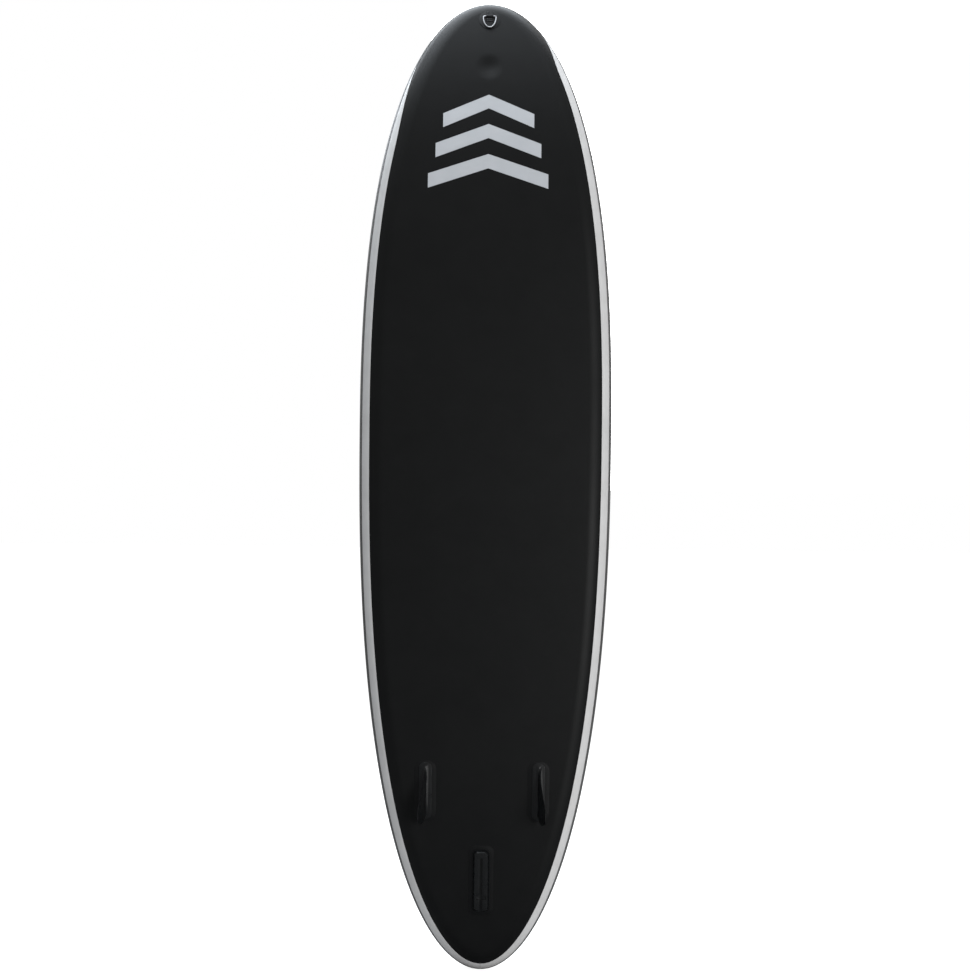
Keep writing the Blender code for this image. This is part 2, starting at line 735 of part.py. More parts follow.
def make_fin_box():
    """The moulded box that a slide-in centre fin locks into, on its glued patch."""
    frame = seat_frame(0, FIN_BOX_ALONG, SKIN_LEVEL, HULL)
    outline = rounded_rectangle(
        FIN_BOX_WIDTH + 2 * FIN_PATCH_MARGIN, FIN_BOX_LENGTH + 2 * FIN_PATCH_MARGIN, FIN_BOX_CORNER * 1.6
    )
    layer("fin_box_patch", "black_pvc", PATCH_LEVEL, PATCH_THICKNESS, HULL, outline, frame, FIN_BOX_LENGTH)
    seat = PATCH_THICKNESS + 2 * GAP
    top = seat + FIN_BOX_HEIGHT
    bm = bmesh.new()
    loops = []
    shapes = (
        (0, -SINK),
        (0, seat + FIN_BOX_HEIGHT * 0.3),
        (FIN_BOX_TAPER * 0.8, top - FIN_BOX_EDGE),
        (FIN_BOX_TAPER, top),
    )
    for inset, height in shapes:
        corner = FIN_BOX_CORNER - inset / 2
        points = rounded_rectangle(FIN_BOX_WIDTH - 2 * inset, FIN_BOX_LENGTH - 2 * inset, corner)
        loops.append([bm.verts.new((x, y, height)) for x, y in points])
    bridge(bm, loops)
    box = part("fin_box", to_mesh("fin_box", bm), "black_plastic", frame)
    rear = -FIN_BOX_LENGTH / 2
    front = FIN_BOX_LENGTH / 2 - SLOT_FRONT_WALL
    open_rear = rear - CUTTER_REACH
    middle = (front + open_rear) / 2
    floor = top - SLOT_DEPTH
    length = front - open_rear
    rails = floor + RAIL_GROOVE_LEVEL
    notch = rear + KEY_NOTCH_FROM_REAR
    cuts = (
        ("fin_slot", (SLOT_WIDTH, length, 2 * SLOT_DEPTH), (0, middle, floor + SLOT_DEPTH)),
        ("fin_rail_groove", (RAIL_GROOVE_WIDTH, length, RAIL_GROOVE_HEIGHT), (0, middle, rails)),
        ("fin_key_notch", (KEY_NOTCH_WIDTH, KEY_NOTCH_LENGTH, 2 * KEY_NOTCH_DEPTH), (0, notch, top)),
    )
    for name, size, centre in cuts:
        boolean(box, guide(name, box_mesh(name, size, centre), frame), "DIFFERENCE")
    boolean(box, UNDER_PATCHES, "DIFFERENCE")


def fin_section(share):
    """Leading edge, chord and thickness of the side fin at a share of its height."""
    lead = -(SIDE_FIN_CHORD - SIDE_FIN_TIP_CHORD) * (1.02 * share**0.8)
    chord = SIDE_FIN_CHORD + (SIDE_FIN_TIP_CHORD - SIDE_FIN_CHORD) * share**1.15
    thickness = SIDE_FIN_THICKNESS * (1 - 0.55 * share)
    if share == 1:
        thickness *= 0.4
    return lead, chord, thickness


def make_side_fin(suffix, sign):
    """A raked blade on a foot, on its glued patch."""
    middle = SIDE_FIN_FRONT - SIDE_FIN_CHORD / 2
    frame = seat_frame(sign * SIDE_FIN_ACROSS, middle, SKIN_LEVEL, HULL)
    outline = rounded_rectangle(FIN_FOOT_PATCH_WIDTH, FIN_FOOT_PATCH_LENGTH, FIN_FOOT_PATCH_WIDTH * 0.42, 7)
    name = f"side_fin_patch_{suffix}"
    layer(name, "black_pvc", PATCH_LEVEL, PATCH_THICKNESS, HULL, outline, frame, SIDE_FIN_CHORD)
    seat = PATCH_THICKNESS + 2 * GAP
    bm = bmesh.new()
    shares = (0, 0.3, 0.6, 0.85, 0.96, 1)
    foil = (0, 0.06, 0.2, 0.45, 0.75, 1)
    loops = []
    for share in shares:
        lead, chord, thickness = fin_section(share)
        height = seat + FIN_FOOT_THICKNESS / 2 + share * (SIDE_FIN_HEIGHT - FIN_FOOT_THICKNESS / 2)
        lean = sign * height * math.tan(SIDE_FIN_CANT)
        halves = [thickness / 2 * math.sqrt(max(0, 1 - (2 * f - 1) ** 2)) for f in foil[1:-1]]
        start = SIDE_FIN_CHORD / 2 + lead
        right = [(h, start - f * chord) for f, h in zip(foil[1:-1], halves)]
        left = [(-x, y) for x, y in reversed(right)]
        ring = [(0, start), *right, (0, start - chord), *left]
        loops.append([bm.verts.new((x + lean, y, height)) for x, y in ring])
    bridge(bm, loops)
    fin = smooth(part(f"side_fin_{suffix}", to_mesh("side_fin", bm), "black_plastic", frame))
    length = SIDE_FIN_CHORD + 2 * FIN_FOOT_MARGIN
    foot = rounded_rectangle(FIN_FOOT_WIDTH, length, FIN_FOOT_WIDTH * 0.45, 6)
    boolean(fin, prism(f"fin_foot_{suffix}", foot, -SINK, seat + FIN_FOOT_THICKNESS, frame), "UNION")
    boolean(fin, UNDER_PATCHES, "DIFFERENCE")


# Deck pads


def pad_half_width(along):
    """Half width on the pads' one side line, which follows the board's edge at a margin."""
    stops = np.linspace(REAR_PAD[0], FRONT_PAD[1], PAD_SIDE_STOPS)
    return float(np.interp(along, stops, [outline_half_width(s) - PAD_MARGIN for s in stops]))


def pad_outline(span):
    """A pad's outline, rounded at the ends of the whole field, as (across, height) in world units."""
    stops = [s for s in np.linspace(REAR_PAD[0], FRONT_PAD[1], PAD_SIDE_STOPS) if span[0] < s < span[1]]
    right = [(pad_half_width(s), s) for s in stops]
    if span == REAR_PAD:
        rear = rounded_end(span[0], 1, PAD_REAR_CORNER)
        right = rear + [(x, s) for x, s in right if s > rear[-1][1]]
    else:
        right.insert(0, (pad_half_width(span[0]), span[0]))
    if span == FRONT_PAD:
        front = rounded_end(span[1], -1, PAD_FRONT_CORNER)
        right = [(x, s) for x, s in right if s < front[-1][1]] + front[::-1]
    else:
        right.append((pad_half_width(span[1]), span[1]))
    raised = [(x, place(0, s, -SKIN_LEVEL).z) for x, s in right]
    return raised + [(-x, z) for x, z in reversed(raised)]


def rounded_end(end, inwards, corner, count=6):
    """Points of a rounded corner, from a pad's end to its side."""
    points = []
    for k in range(count):
        t = math.pi / 2 * k / (count - 1)
        along = end + inwards * corner * (1 - math.cos(t))
        points.append((pad_half_width(along) - corner * (1 - math.sin(t)), along))
    return points


def pad_frame():
    """Frame for outlines in world units: x across, y up, z out of the deck side."""
    return Matrix(((1, 0, 0, 0), (0, 0, -1, 0), (0, 1, 0, 0), (0, 0, 0, 1)))


def make_pad(name, span, finish):
    bm = bmesh.new()
    knots = [seam.y for seam, _ in STATIONS]
    first = max(i for i, s in enumerate(knots) if s < span[0] - PAD_JOINT)
    last = min(i for i, s in enumerate(knots) if s > span[1] + PAD_JOINT)
    add_flat(bm, PAD_LEVEL, DECK, first, last)
    close_joins(bm)
    obj = part(name, to_mesh(name, bm), finish)
    mirror_halves(obj)
    solidify(obj, PAD_THICKNESS)
    outline = prism(name + "_outline", pad_outline(span), -BOARD_WIDTH, BOARD_WIDTH, pad_frame())
    boolean(obj, outline, "INTERSECT")
    return obj


def groove_cutter(name, length, frame, turned_across):
    """A V-shaped cutter whose middle lies on the pad's top; it runs along, or across, the board."""
    half, depth = GROOVE_WIDTH / 2, GROOVE_DEPTH
    section = [(-half * 2, depth), (half * 2, depth), (0, -depth)]
    turn = Matrix.Rotation(-math.pi / 2, 4, "X") @ Matrix.Rotation(math.pi, 4, "Z")
    if turned_across:
        turn = Matrix.Rotation(math.pi / 2, 4, "Z") @ turn
    return prism(name, section, -length / 2, length / 2, frame @ turn)


def cut_long_grooves(pad, span):
    """Grooves along the board, at even spacing, that stop short of the pad's ends."""
    middle = (span[0] + span[1]) / 2
    length = span[1] - span[0] - 2 * GROOVE_END
    narrowest = min(pad_half_width(span[0]), pad_half_width(span[1]))
    pairs = int((narrowest - GROOVE_SPACING / 3) / GROOVE_SPACING)
    for k in range(-pairs, pairs + 1):
        frame = seat_frame(k * GROOVE_SPACING, middle, PAD_LEVEL, DECK)
        boolean(pad, groove_cutter(f"{pad.name}_groove_{k + pairs}", length, frame, False), "DIFFERENCE")


def cut_cross_grooves(pad, span):
    for k in range(REAR_GROOVES):
        along = span[0] + (span[1] - span[0]) * (k + 1) / (REAR_GROOVES + 1)
        width = 2 * (pad_half_width(along) - GROOVE_END)
        frame = seat_frame(0, along, PAD_LEVEL, DECK)
        boolean(pad, groove_cutter(f"{pad.name}_groove_{k}", width, frame, True), "DIFFERENCE")


def make_deck_pads():
    front = make_pad("deck_pad_front", FRONT_PAD, "eva_foam")
    cut_long_grooves(front, FRONT_PAD)
    middle = make_pad("deck_pad_middle", MIDDLE_PAD, "eva_foam")
    span = HANDLE_LENGTH - HANDLE_FOOT + ANCHOR_LENGTH
    margin = 2 * HANDLE_OPENING_MARGIN
    opening = rounded_rectangle(ANCHOR_WIDTH + margin, span + margin, ANCHOR_CORNER + HANDLE_OPENING_MARGIN)
    frame = seat_frame(0, HANDLE_ALONG, SKIN_LEVEL, DECK)
    boolean(middle, prism("handle_opening", opening, -CUTTER_REACH, CUTTER_REACH, frame), "DIFFERENCE")
    cut_long_grooves(middle, MIDDLE_PAD)
    rear = make_pad("deck_pad_rear", REAR_PAD, "eva_foam_light")
    cut_cross_grooves(rear, REAR_PAD)
    make_kick_pad()


def kick_section():
    """The bar's section, as (along, up): a hollow ramp to the crest and a steep tail side."""
    rise = KICK_HEIGHT - KICK_FOOT
    ramp = [math.pi / 2 * k / 4 for k in range(5)]
    section = [(KICK_LENGTH / 2, KICK_FOOT)]
    section += [(KICK_LENGTH * (0.36 * math.cos(t) - 0.14), KICK_FOOT + rise * math.sin(t)) for t in ramp]
    section += [(-KICK_LENGTH * 0.30, KICK_HEIGHT), (-KICK_LENGTH * 0.46, KICK_HEIGHT * 0.72)]
    return section + [(-KICK_LENGTH / 2, KICK_FOOT)]


def make_kick_pad():
    """The raised bar at the tail that the rider's back foot finds, rounded off at both ends."""
    middle = (KICK_PAD[0] + KICK_PAD[1]) / 2
    frame = seat_frame(0, middle, SKIN_LEVEL, DECK)
    half = outline_half_width(middle) - KICK_MARGIN
    turns = [math.pi / 2 * k / 3 for k in range(4)]
    ends = [(half - KICK_END * (1 - math.sin(t)), 1 - 0.75 * (1 - math.cos(t))) for t in turns]
    stops = [(-x, low) for x, low in reversed(ends)] + ends
    front, rear = (KICK_LENGTH / 2, -SINK), (-KICK_LENGTH / 2, -SINK)
    bm = bmesh.new()
    loops = []
    for across, crown in stops:
        loop = [front, *[(y, z * crown) for y, z in kick_section()], rear]
        loops.append([bm.verts.new((across, y, z)) for y, z in loop])
    bridge(bm, loops)
    obj = smooth(part("kick_pad", to_mesh("kick_pad", bm), "eva_foam_light", frame), 50)
    boolean(obj, UNDER_SKIN_PIECES, "DIFFERENCE")


# Carry handle


def handle_path():
    """Height of the webbing's middle over the deck skin, at distances from the handle's middle."""
    low = PATCH_THICKNESS + 2 * GAP + HANDLE_WEB / 2
    half = HANDLE_LENGTH / 2
    flat_top = GRIP_LENGTH / 2 + 2 * GAP
    ramp = half - HANDLE_FOOT - flat_top
    points = [(-half, low), (-half + HANDLE_FOOT, low)]
    for k in range(1, 6):
        share = k / 6
        lift = (1 - math.cos(math.pi * share)) / 2
        points.append((-half + HANDLE_FOOT + ramp * share, low + HANDLE_RISE * lift))
    points.append((-flat_top, low + HANDLE_RISE))
    return points + [(-y, z) for y, z in reversed(points)]


def make_handle():
    frame = seat_frame(0, HANDLE_ALONG, SKIN_LEVEL, DECK)
    bm = bmesh.new()
    rows = [
        [bm.verts.new((x, y, z + HANDLE_WEB / 2)) for x in (-HANDLE_WIDTH / 2, HANDLE_WIDTH / 2)]
        for y, z in handle_path()
    ]
    for (a, b), (c, d) in zip(rows, rows[1:]):
        bm.faces.new((a, b, d, c))
    strap = part("handle_strap", to_mesh("handle_strap", bm), "webbing", frame)
    solidify(strap, HANDLE_WEB)
    top = handle_path()[len(handle_path()) // 2][1]
    section = []
    for k in range(20):
        t = 2 * math.pi * k / 20
        x = (HANDLE_WIDTH / 2 + GRIP_WALL) * abs(math.cos(t)) ** 0.8 * (1 if math.cos(t) >= 0 else -1)
        z = (HANDLE_WEB / 2 + GRIP_WALL) * abs(math.sin(t)) ** 0.8 * (1 if math.sin(t) >= 0 else -1)
        section.append((x, z))
    standing = frame @ Matrix.Translation((0, 0, top)) @ Matrix.Rotation(math.pi / 2, 4, "X")
    sleeve = extruded("handle_grip", section, -GRIP_LENGTH / 2, GRIP_LENGTH / 2)
    grip = smooth(part("handle_grip", sleeve, "neoprene", standing))
    room = (HANDLE_WIDTH + 2 * GAP, HANDLE_WEB + 2 * GAP, GRIP_LENGTH * 2)
    boolean(grip, guide("grip_channel", box_mesh("grip_channel", room, (0, 0, 0)), standing), "DIFFERENCE")
    for suffix, end in (("front", 1), ("rear", -1)):
        along = HANDLE_ALONG + end * (HANDLE_LENGTH / 2 - HANDLE_FOOT / 2)
        outline = rounded_rectangle(ANCHOR_WIDTH, ANCHOR_LENGTH, ANCHOR_CORNER)
        at = seat_frame(0, along, SKIN_LEVEL, DECK)
        name = f"handle_anchor_{suffix}"
        layer(name, "black_pvc", PATCH_LEVEL, PATCH_THICKNESS, DECK, outline, at, ANCHOR_LENGTH)


# Inflation valve, with z out of the deck and z = 0 on the skin's outer face


def make_valve():
    floor = -VALVE_SOCKET_DEPTH
    bottom = -VALVE_BARREL_LENGTH
    flange_top = GAP + VALVE_FLANGE_THICKNESS
    body = turned(
        "valve_body",
        (
            (VALVE_SOCKET_RADIUS, flange_top),
            (VALVE_FLANGE_RADIUS - VALVE_FLANGE_EDGE, flange_top),
            (VALVE_FLANGE_RADIUS, flange_top - VALVE_FLANGE_EDGE),
            (VALVE_FLANGE_RADIUS, -SINK),
            (VALVE_BARREL_RADIUS, -SINK),
            (VALVE_BARREL_RADIUS, bottom),
            (VALVE_PORT_RADIUS, bottom),
            (VALVE_PORT_RADIUS, floor),
            (VALVE_SOCKET_RADIUS, floor),
        ),
        "black_plastic",
        VALVE_FRAME,
    )
    guide_low = bottom + GUIDE_LIFT
    bridge_size = (VALVE_PORT_RADIUS + VALVE_SOCKET_RADIUS, BRIDGE_WIDTH, BRIDGE_HEIGHT)
    bars = box_mesh("valve_bridge", bridge_size, (0, 0, guide_low + BRIDGE_HEIGHT / 2))
    tube = cylinder_mesh("valve_guide", GUIDE_RADIUS, guide_low, guide_low + GUIDE_HEIGHT, 16)
    bore = cylinder_mesh("valve_guide_bore", STEM_RADIUS + GAP, bottom * 2, 0, 16)
    boolean(body, guide("valve_bridge", bars, VALVE_FRAME), "UNION")
    boolean(body, guide("valve_guide", tube, VALVE_FRAME), "UNION")
    boolean(body, guide("valve_guide_bore", bore, VALVE_FRAME), "DIFFERENCE")
    boolean(body, UNDER_FLANGE, "DIFFERENCE")
    make_valve_nut()
    make_valve_plunger(bottom, guide_low + GUIDE_HEIGHT)
    make_valve_cap(flange_top)


def make_valve_nut():
    top = -SKIN_THICKNESS - GAP
    low = top - NUT_THICKNESS
    inner = VALVE_BARREL_RADIUS + GAP
    profile = ((inner, top), (NUT_RADIUS, top), (NUT_RADIUS, low), (inner, low))
    nut = turned("valve_nut", profile, "black_plastic", VALVE_FRAME)
    for k in range(NUT_NOTCHES):
        turn = Matrix.Rotation(2 * math.pi * (k + 0.5) / NUT_NOTCHES, 4, "Z")
        at = VALVE_FRAME @ turn @ Matrix.Translation((NUT_RADIUS + NUT_NOTCH_RADIUS * 0.3, 0, 0))
        notch = cylinder_mesh("notch", NUT_NOTCH_RADIUS, -CUTTER_REACH, CUTTER_REACH, 12)
        boolean(nut, guide(f"nut_notch_{k}", notch, at), "DIFFERENCE")


def make_valve_plunger(bottom, shoulder):
    """Button, stem, seal and the spring that pulls the seal shut."""
    seal_top = bottom - GAP
    head_top = seal_top - SEAL_THICKNESS - GAP
    button_top = GAP + VALVE_FLANGE_THICKNESS - BUTTON_RECESS - CAP_PLUG_DEPTH
    button_low = button_top - BUTTON_THICKNESS
    head_low = head_top - STEM_HEAD_THICKNESS
    turned(
        "valve_stem",
        (
            (0, button_top),
            (BUTTON_RADIUS - BUTTON_EDGE, button_top),
            (BUTTON_RADIUS, button_top - BUTTON_EDGE),
            (BUTTON_RADIUS, button_low),
            (STEM_RADIUS, button_low),
            (STEM_RADIUS, head_top),
            (STEM_HEAD_RADIUS, head_top),
            (STEM_HEAD_RADIUS, head_low),
            (0, head_low),
        ),
        "black_plastic",
        VALVE_FRAME,
        16,
        False,
    )
    turned(
        "valve_seal",
        (
            (STEM_RADIUS + GAP, seal_top),
            (SEAL_RADIUS, seal_top),
            (SEAL_RADIUS, seal_top - SEAL_THICKNESS),
            (STEM_RADIUS + GAP, seal_top - SEAL_THICKNESS),
        ),
        "rubber",
        VALVE_FRAME,
        20,
    )
    low, high = shoulder + GAP + SPRING_WIRE / 2, button_low - GAP - SPRING_WIRE / 2
    curve = bpy.data.curves.new("valve_spring", "CURVE")
    curve.dimensions = "3D"
    curve.bevel_depth = SPRING_WIRE / 2
    curve.bevel_resolution = 1
    curve.render_resolution_u = 0
    curve.use_fill_caps = True
    spline = curve.splines.new("POLY")
    count = int(SPRING_TURNS * 10)
    spline.points.add(count)
    for k, point in enumerate(spline.points):
        t = 2 * math.pi * SPRING_TURNS * k / count
        height = low + (high - low) * k / count
        point.co = (SPRING_RADIUS * math.cos(t), SPRING_RADIUS * math.sin(t), height, 1)
    obj = bpy.data.objects.new("valve_spring", curve)
    curve.materials.append(material("valve_spring", "steel"))
    obj.matrix_world = VALVE_FRAME
    BOARD.objects.link(obj)
    turn_gap = (high - low) / SPRING_TURNS - SPRING_WIRE
    print(f"least gap between spring turns: {turn_gap / MM:.2f} mm")


def make_valve_cap(flange_top):
    """The quarter-turn cap, its gasket and the grip bar on top."""
    low = flange_top + GAP
    top = low + CAP_HEIGHT
    plug = VALVE_SOCKET_RADIUS - 3 * GAP
    groove = plug - GASKET_SIZE + GAP
    groove_high = flange_top - GASKET_DEPTH
    groove_low = groove_high - GASKET_SIZE - 2 * GAP
    plug_low = flange_top - CAP_PLUG_DEPTH
    bore = plug - CAP_PLUG_WALL - GASKET_SIZE
    cap = turned(
        "valve_cap",
        (
            (0, top),
            (CAP_RADIUS * 0.7, top - CAP_DOME),
            (CAP_RADIUS - CAP_EDGE, top - CAP_EDGE),
            (CAP_RADIUS, top - 2 * CAP_EDGE),
            (CAP_RADIUS, low),
            (plug, low),
            (plug, groove_high),
            (groove, groove_high),
            (groove, groove_low),
            (plug, groove_low),
            (plug, plug_low),
            (bore, plug_low),
            (bore, low),
            (0, low),
        ),
        "black_plastic",
        VALVE_FRAME,
        ROUND_STEPS,
        False,
    )
    outline = rounded_rectangle(CAP_GRIP_LENGTH, CAP_GRIP_WIDTH, CAP_GRIP_WIDTH / 3, 3)
    grip = prism("cap_grip", outline, low + CAP_HEIGHT / 2, top + CAP_GRIP_HEIGHT, VALVE_FRAME)
    boolean(cap, grip, "UNION")
    inner = groove + GAP
    outer = inner + GASKET_SIZE
    high = (groove_high + groove_low + GASKET_SIZE) / 2
    profile = ((inner, high), (outer, high), (outer, high - GASKET_SIZE), (inner, high - GASKET_SIZE))
    turned("valve_gasket", profile, "rubber", VALVE_FRAME, 20)


clear_scene()
BOARD = new_collection("paddle_board")
CUTTERS = new_collection("cutters")
VALVE_FRAME = seat_frame(0, VALVE_ALONG, SKIN_LEVEL, DECK)
UNDER_PATCHES = guide("under_patches", envelope("under_patches", PATCH_LEVEL + GAP))
mirror_halves(UNDER_PATCHES)
UNDER_SKIN_PIECES = guide("under_skin_pieces", envelope("under_skin_pieces", SKIN_LEVEL + GAP))
mirror_halves(UNDER_SKIN_PIECES)
UNDER_FLANGE = guide("under_flange", envelope("under_flange", SKIN_LEVEL + GAP))
mirror_halves(UNDER_FLANGE)
barrel_room = cylinder_mesh("barrel_room", VALVE_BARREL_RADIUS + GAP / 3, -CUTTER_REACH, CUTTER_REACH)
boolean(UNDER_FLANGE, guide("barrel_room", barrel_room, VALVE_FRAME), "DIFFERENCE")

make_core()
make_skins()
make_strips()
make_rings()
make_fin_box()
make_side_fin("port", 1)
make_side_fin("starboard", -1)
make_deck_pads()
make_handle()
make_valve()
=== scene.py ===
"""Looks of the inflatable paddle board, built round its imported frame.

The board stands upright on its tail: nose up (+Z), hull face towards -Y, port side towards +X.
A place on the board is across (to port), along (from the tail tip, following the hull) and level
(distance from the middle surface). A glued-on piece is first made flat, as across, along and height
over the skin, and is then bent onto the hull or the deck.
"""

import json
import math

import bmesh
import bpy
import numpy as np
from mathutils import Matrix, Vector
from mathutils.geometry import delaunay_2d_cdt


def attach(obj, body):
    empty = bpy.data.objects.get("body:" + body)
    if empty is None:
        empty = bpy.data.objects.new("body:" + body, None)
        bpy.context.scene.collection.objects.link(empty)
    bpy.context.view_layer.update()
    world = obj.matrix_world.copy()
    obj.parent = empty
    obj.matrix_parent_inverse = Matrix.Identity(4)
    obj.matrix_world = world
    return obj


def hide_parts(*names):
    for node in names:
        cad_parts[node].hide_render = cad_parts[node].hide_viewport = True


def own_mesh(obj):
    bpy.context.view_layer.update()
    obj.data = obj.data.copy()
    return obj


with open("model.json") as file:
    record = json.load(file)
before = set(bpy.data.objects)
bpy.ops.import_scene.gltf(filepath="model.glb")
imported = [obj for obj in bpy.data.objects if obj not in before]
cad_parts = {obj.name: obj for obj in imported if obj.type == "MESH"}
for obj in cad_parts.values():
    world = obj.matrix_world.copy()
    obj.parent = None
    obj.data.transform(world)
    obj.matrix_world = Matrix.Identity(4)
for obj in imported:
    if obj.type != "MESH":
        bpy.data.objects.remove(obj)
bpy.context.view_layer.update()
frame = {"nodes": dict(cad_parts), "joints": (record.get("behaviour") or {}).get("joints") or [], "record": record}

MM = 0.001
GAP = 0.3 * MM
MERGE_DISTANCE = 0.01 * MM
HULL, DECK = 1, -1

# The board's shape, as in its construction
HULL_LENGTH = 3.220
BOARD_WIDTH = 0.824
WIDEST_POINT = 1.766
OUTLINE_FULLNESS = 2.43
NOSE_LIFT_ANGLE = math.radians(29)
NOSE_LIFT_LENGTH = 1.0
TAIL_LIFT_ANGLE = math.radians(5)
TAIL_LIFT_LENGTH = 0.7
LIFT_POWER = 1.6
SKIN_LEVEL = 75 * MM
SKIN_THICKNESS = 1.0 * MM
TAPE_THICKNESS = 0.9 * MM
SIDEWALL_LEVEL = SKIN_LEVEL + GAP + TAPE_THICKNESS
BAND_LEVEL = SIDEWALL_LEVEL + GAP + TAPE_THICKNESS
SIDEWALL_EDGE_ANGLE = 34
BAND_EDGE_ANGLE = 62
SEAM_WIDTH = 0.6 * MM
PATCH_THICKNESS = 1.0 * MM
ON_PATCH = PATCH_THICKNESS + 2 * GAP
VALVE_FROM_NOSE = 0.276
VALVE_ALONG = HULL_LENGTH - VALVE_FROM_NOSE
DIMPLE_RADIUS = 50 * MM
DIMPLE_DEPTH = 5.5 * MM
VALVE_HOLE_RADIUS = 20.3 * MM

# Distances from the nose where each side's light strip starts and ends its retreat under the band
NOSE_WRAP = {1: (0.23, 0.10), -1: (0.47, 0.20)}

# How finely the body is divided
NOSE_STATIONS = 56
TAIL_STATIONS = 48
WRAP_STEPS = 22
SIDEWALL_STEPS = 40
BAND_STEPS = 16
DIMPLE_RINGS = 12
HALF_TURN_STEPS = 32

# Places and sizes of the fittings
STITCH_LENGTH = 3.0 * MM
STITCH_GAP = 1.4 * MM
STITCH_RADIUS = 0.35 * MM
RING_WIRE = 5 * MM
RING_WIDTH = 47 * MM
RING_HEIGHT = 50 * MM
RING_CORNER = 5 * MM
RING_PATCH_RADIUS = 35 * MM
RING_PATCH_OFFSET = 12 * MM
STRAP_THICKNESS = 1.3 * MM
STRAP_WALL = 1.5 * MM
STRAP_WIDTH = 25 * MM
STRAP_LENGTH = 38 * MM
STRAP_STITCH_ROWS = (-16 * MM, -9 * MM, 9 * MM, 16 * MM)
STRAP_STITCH_MARGIN = 3 * MM
# Each ring's body, its place across and along, and the face that it is on
RING_SETS = {
    "nose": ("nose_ring", 0, HULL_LENGTH - 0.093, HULL),
    "leash": ("leash_ring", 0, 0.153, DECK),
    "deck_front_port": ("deck_ring_front_port", 0.150, 2.830, DECK),
    "deck_front_starboard": ("deck_ring_front_starboard", -0.150, 2.830, DECK),
    "deck_rear_port": ("deck_ring_rear_port", 0.225, 2.530, DECK),
    "deck_rear_starboard": ("deck_ring_rear_starboard", -0.225, 2.530, DECK),
}
FIN_BOX_ALONG = 0.310
FIN_BOX_LENGTH = 197 * MM
FIN_BOX_WIDTH = 53 * MM
FIN_BOX_HEIGHT = 17 * MM
FIN_BOX_CORNER = 14 * MM
FIN_BOX_PATCH_MARGIN = 14 * MM
FIN_BOX_PATCH_CORNER = 22 * MM
SLOT_WIDTH = 9.6 * MM
SLOT_DEPTH = 13 * MM
SLOT_FRONT_WALL = 24 * MM
SLOT_GROOVE_WIDTH = 19 * MM
SLOT_GROOVE_SPAN = (1.25 * MM, 5.75 * MM)
KEY_NOTCH = (34 * MM, 12 * MM, 6 * MM)
KEY_NOTCH_FROM_REAR = 46 * MM
CUTTER_REACH = 10 * MM
SIDE_FIN_ACROSS = 0.183
SIDE_FIN_FRONT = 0.680
SIDE_FIN_CHORD = 165 * MM
SIDE_FIN_TIP_CHORD = 42 * MM
SIDE_FIN_HEIGHT = 100 * MM
SIDE_FIN_THICKNESS = 7.5 * MM
SIDE_FIN_CANT = math.radians(11)
FIN_FOOT = (42 * MM, 183 * MM, 3 * MM)
FIN_FILLET = (5 * MM, 7 * MM)
FIN_PATCH = (70 * MM, 194 * MM)
PAD_THICKNESS = 5 * MM
PAD_MARGIN = 95 * MM
PAD_CORNER = 4 * MM
# Each pad's rear and front end, and the corners at its front and its rear
REAR_PAD = (0.300, 0.800, PAD_CORNER, 40 * MM)
MIDDLE_PAD = (0.806, 2.060, PAD_CORNER, PAD_CORNER)
FRONT_PAD = (2.066, 2.400, 60 * MM, PAD_CORNER)
GROOVE_WIDTH = 4 * MM
GROOVE_DEPTH = 2.2 * MM
PLANK_SPACING = 37 * MM
PLANK_INSET = 25 * MM
PLANK_SIDE_INSET = 14 * MM
PLANK_SHORTEST = 60 * MM
PLANK_OPENING = (56 * MM, 205 * MM)
RIB_SPACING = 32 * MM
RIB_INSET = 30 * MM
RIB_SIDE_INSET = 22 * MM
RIB_FROM_MIDDLE = 5 * MM
RIB_SLOPE = 0.10
KICK_PAD = (0.206, 0.294)
KICK_RISE = 26 * MM
KICK_LIP = 5 * MM
KICK_BACK_LIP = 6 * MM
KICK_MARGIN = 110 * MM
KICK_ROUNDING = 18 * MM
HANDLE_ALONG = 1.620
HANDLE_HALF_LENGTH = 165 * MM
HANDLE_FOOT = 52 * MM
HANDLE_HALF_TOP = 56.6 * MM
HANDLE_RISE = 36 * MM
HANDLE_WELL = (100 * MM, 386 * MM, 28 * MM)
HANDLE_PATCH = (76 * MM, 84 * MM, 16 * MM)
HANDLE_PATCH_AT = 139 * MM
HANDLE_STITCHES = (120 * MM, 158 * MM)
HANDLE_STITCH_MARGIN = 4 * MM
WEB_WIDTH = 38 * MM
WEB_THICKNESS = 2.4 * MM
GRIP_WALL = 5 * MM
GRIP_HALF_LENGTH = 56 * MM
GRIP_SEAM = 51 * MM
FLANGE_RADIUS = 31 * MM
FLANGE_HEIGHT = 3 * MM
FLANGE_BORE = 17.5 * MM
FLANGE_DENTS = 6
DENT_RADIUS = 1.6 * MM
DENT_DEPTH = 0.8 * MM
DENT_FROM_AXIS = 24.5 * MM
SOCKET_RADIUS = 20 * MM
SOCKET_DEPTH = 26 * MM
SPRING_WIRE = 0.9 * MM
SPRING_RADIUS = 4.3 * MM
SPRING_TURNS = 4.5
CAP_RADIUS = 21 * MM
CAP_HEIGHT = 4.2 * MM
CAP_EDGE = 1.2 * MM
CAP_PLUG_DEPTH = 4.6 * MM
CAP_PLUG_WALL = 2.6 * MM
CAP_GRIP = (31.5 * MM, 5 * MM, 5 * MM)
GASKET_SIZE = 1.4 * MM
GASKET_DEPTH = 1.0 * MM
CHEVRON_FIRST = HULL_LENGTH - 0.615
CHEVRON_PITCH = 98 * MM
CHEVRON_HALF_WIDTH = 195 * MM
CHEVRON_RISE = 64 * MM
CHEVRON_BAND = 46 * MM
CHEVRON_SHRINK = 0.12
CHEVRON_HEIGHTS = (0.05 * MM, 0.2 * MM)

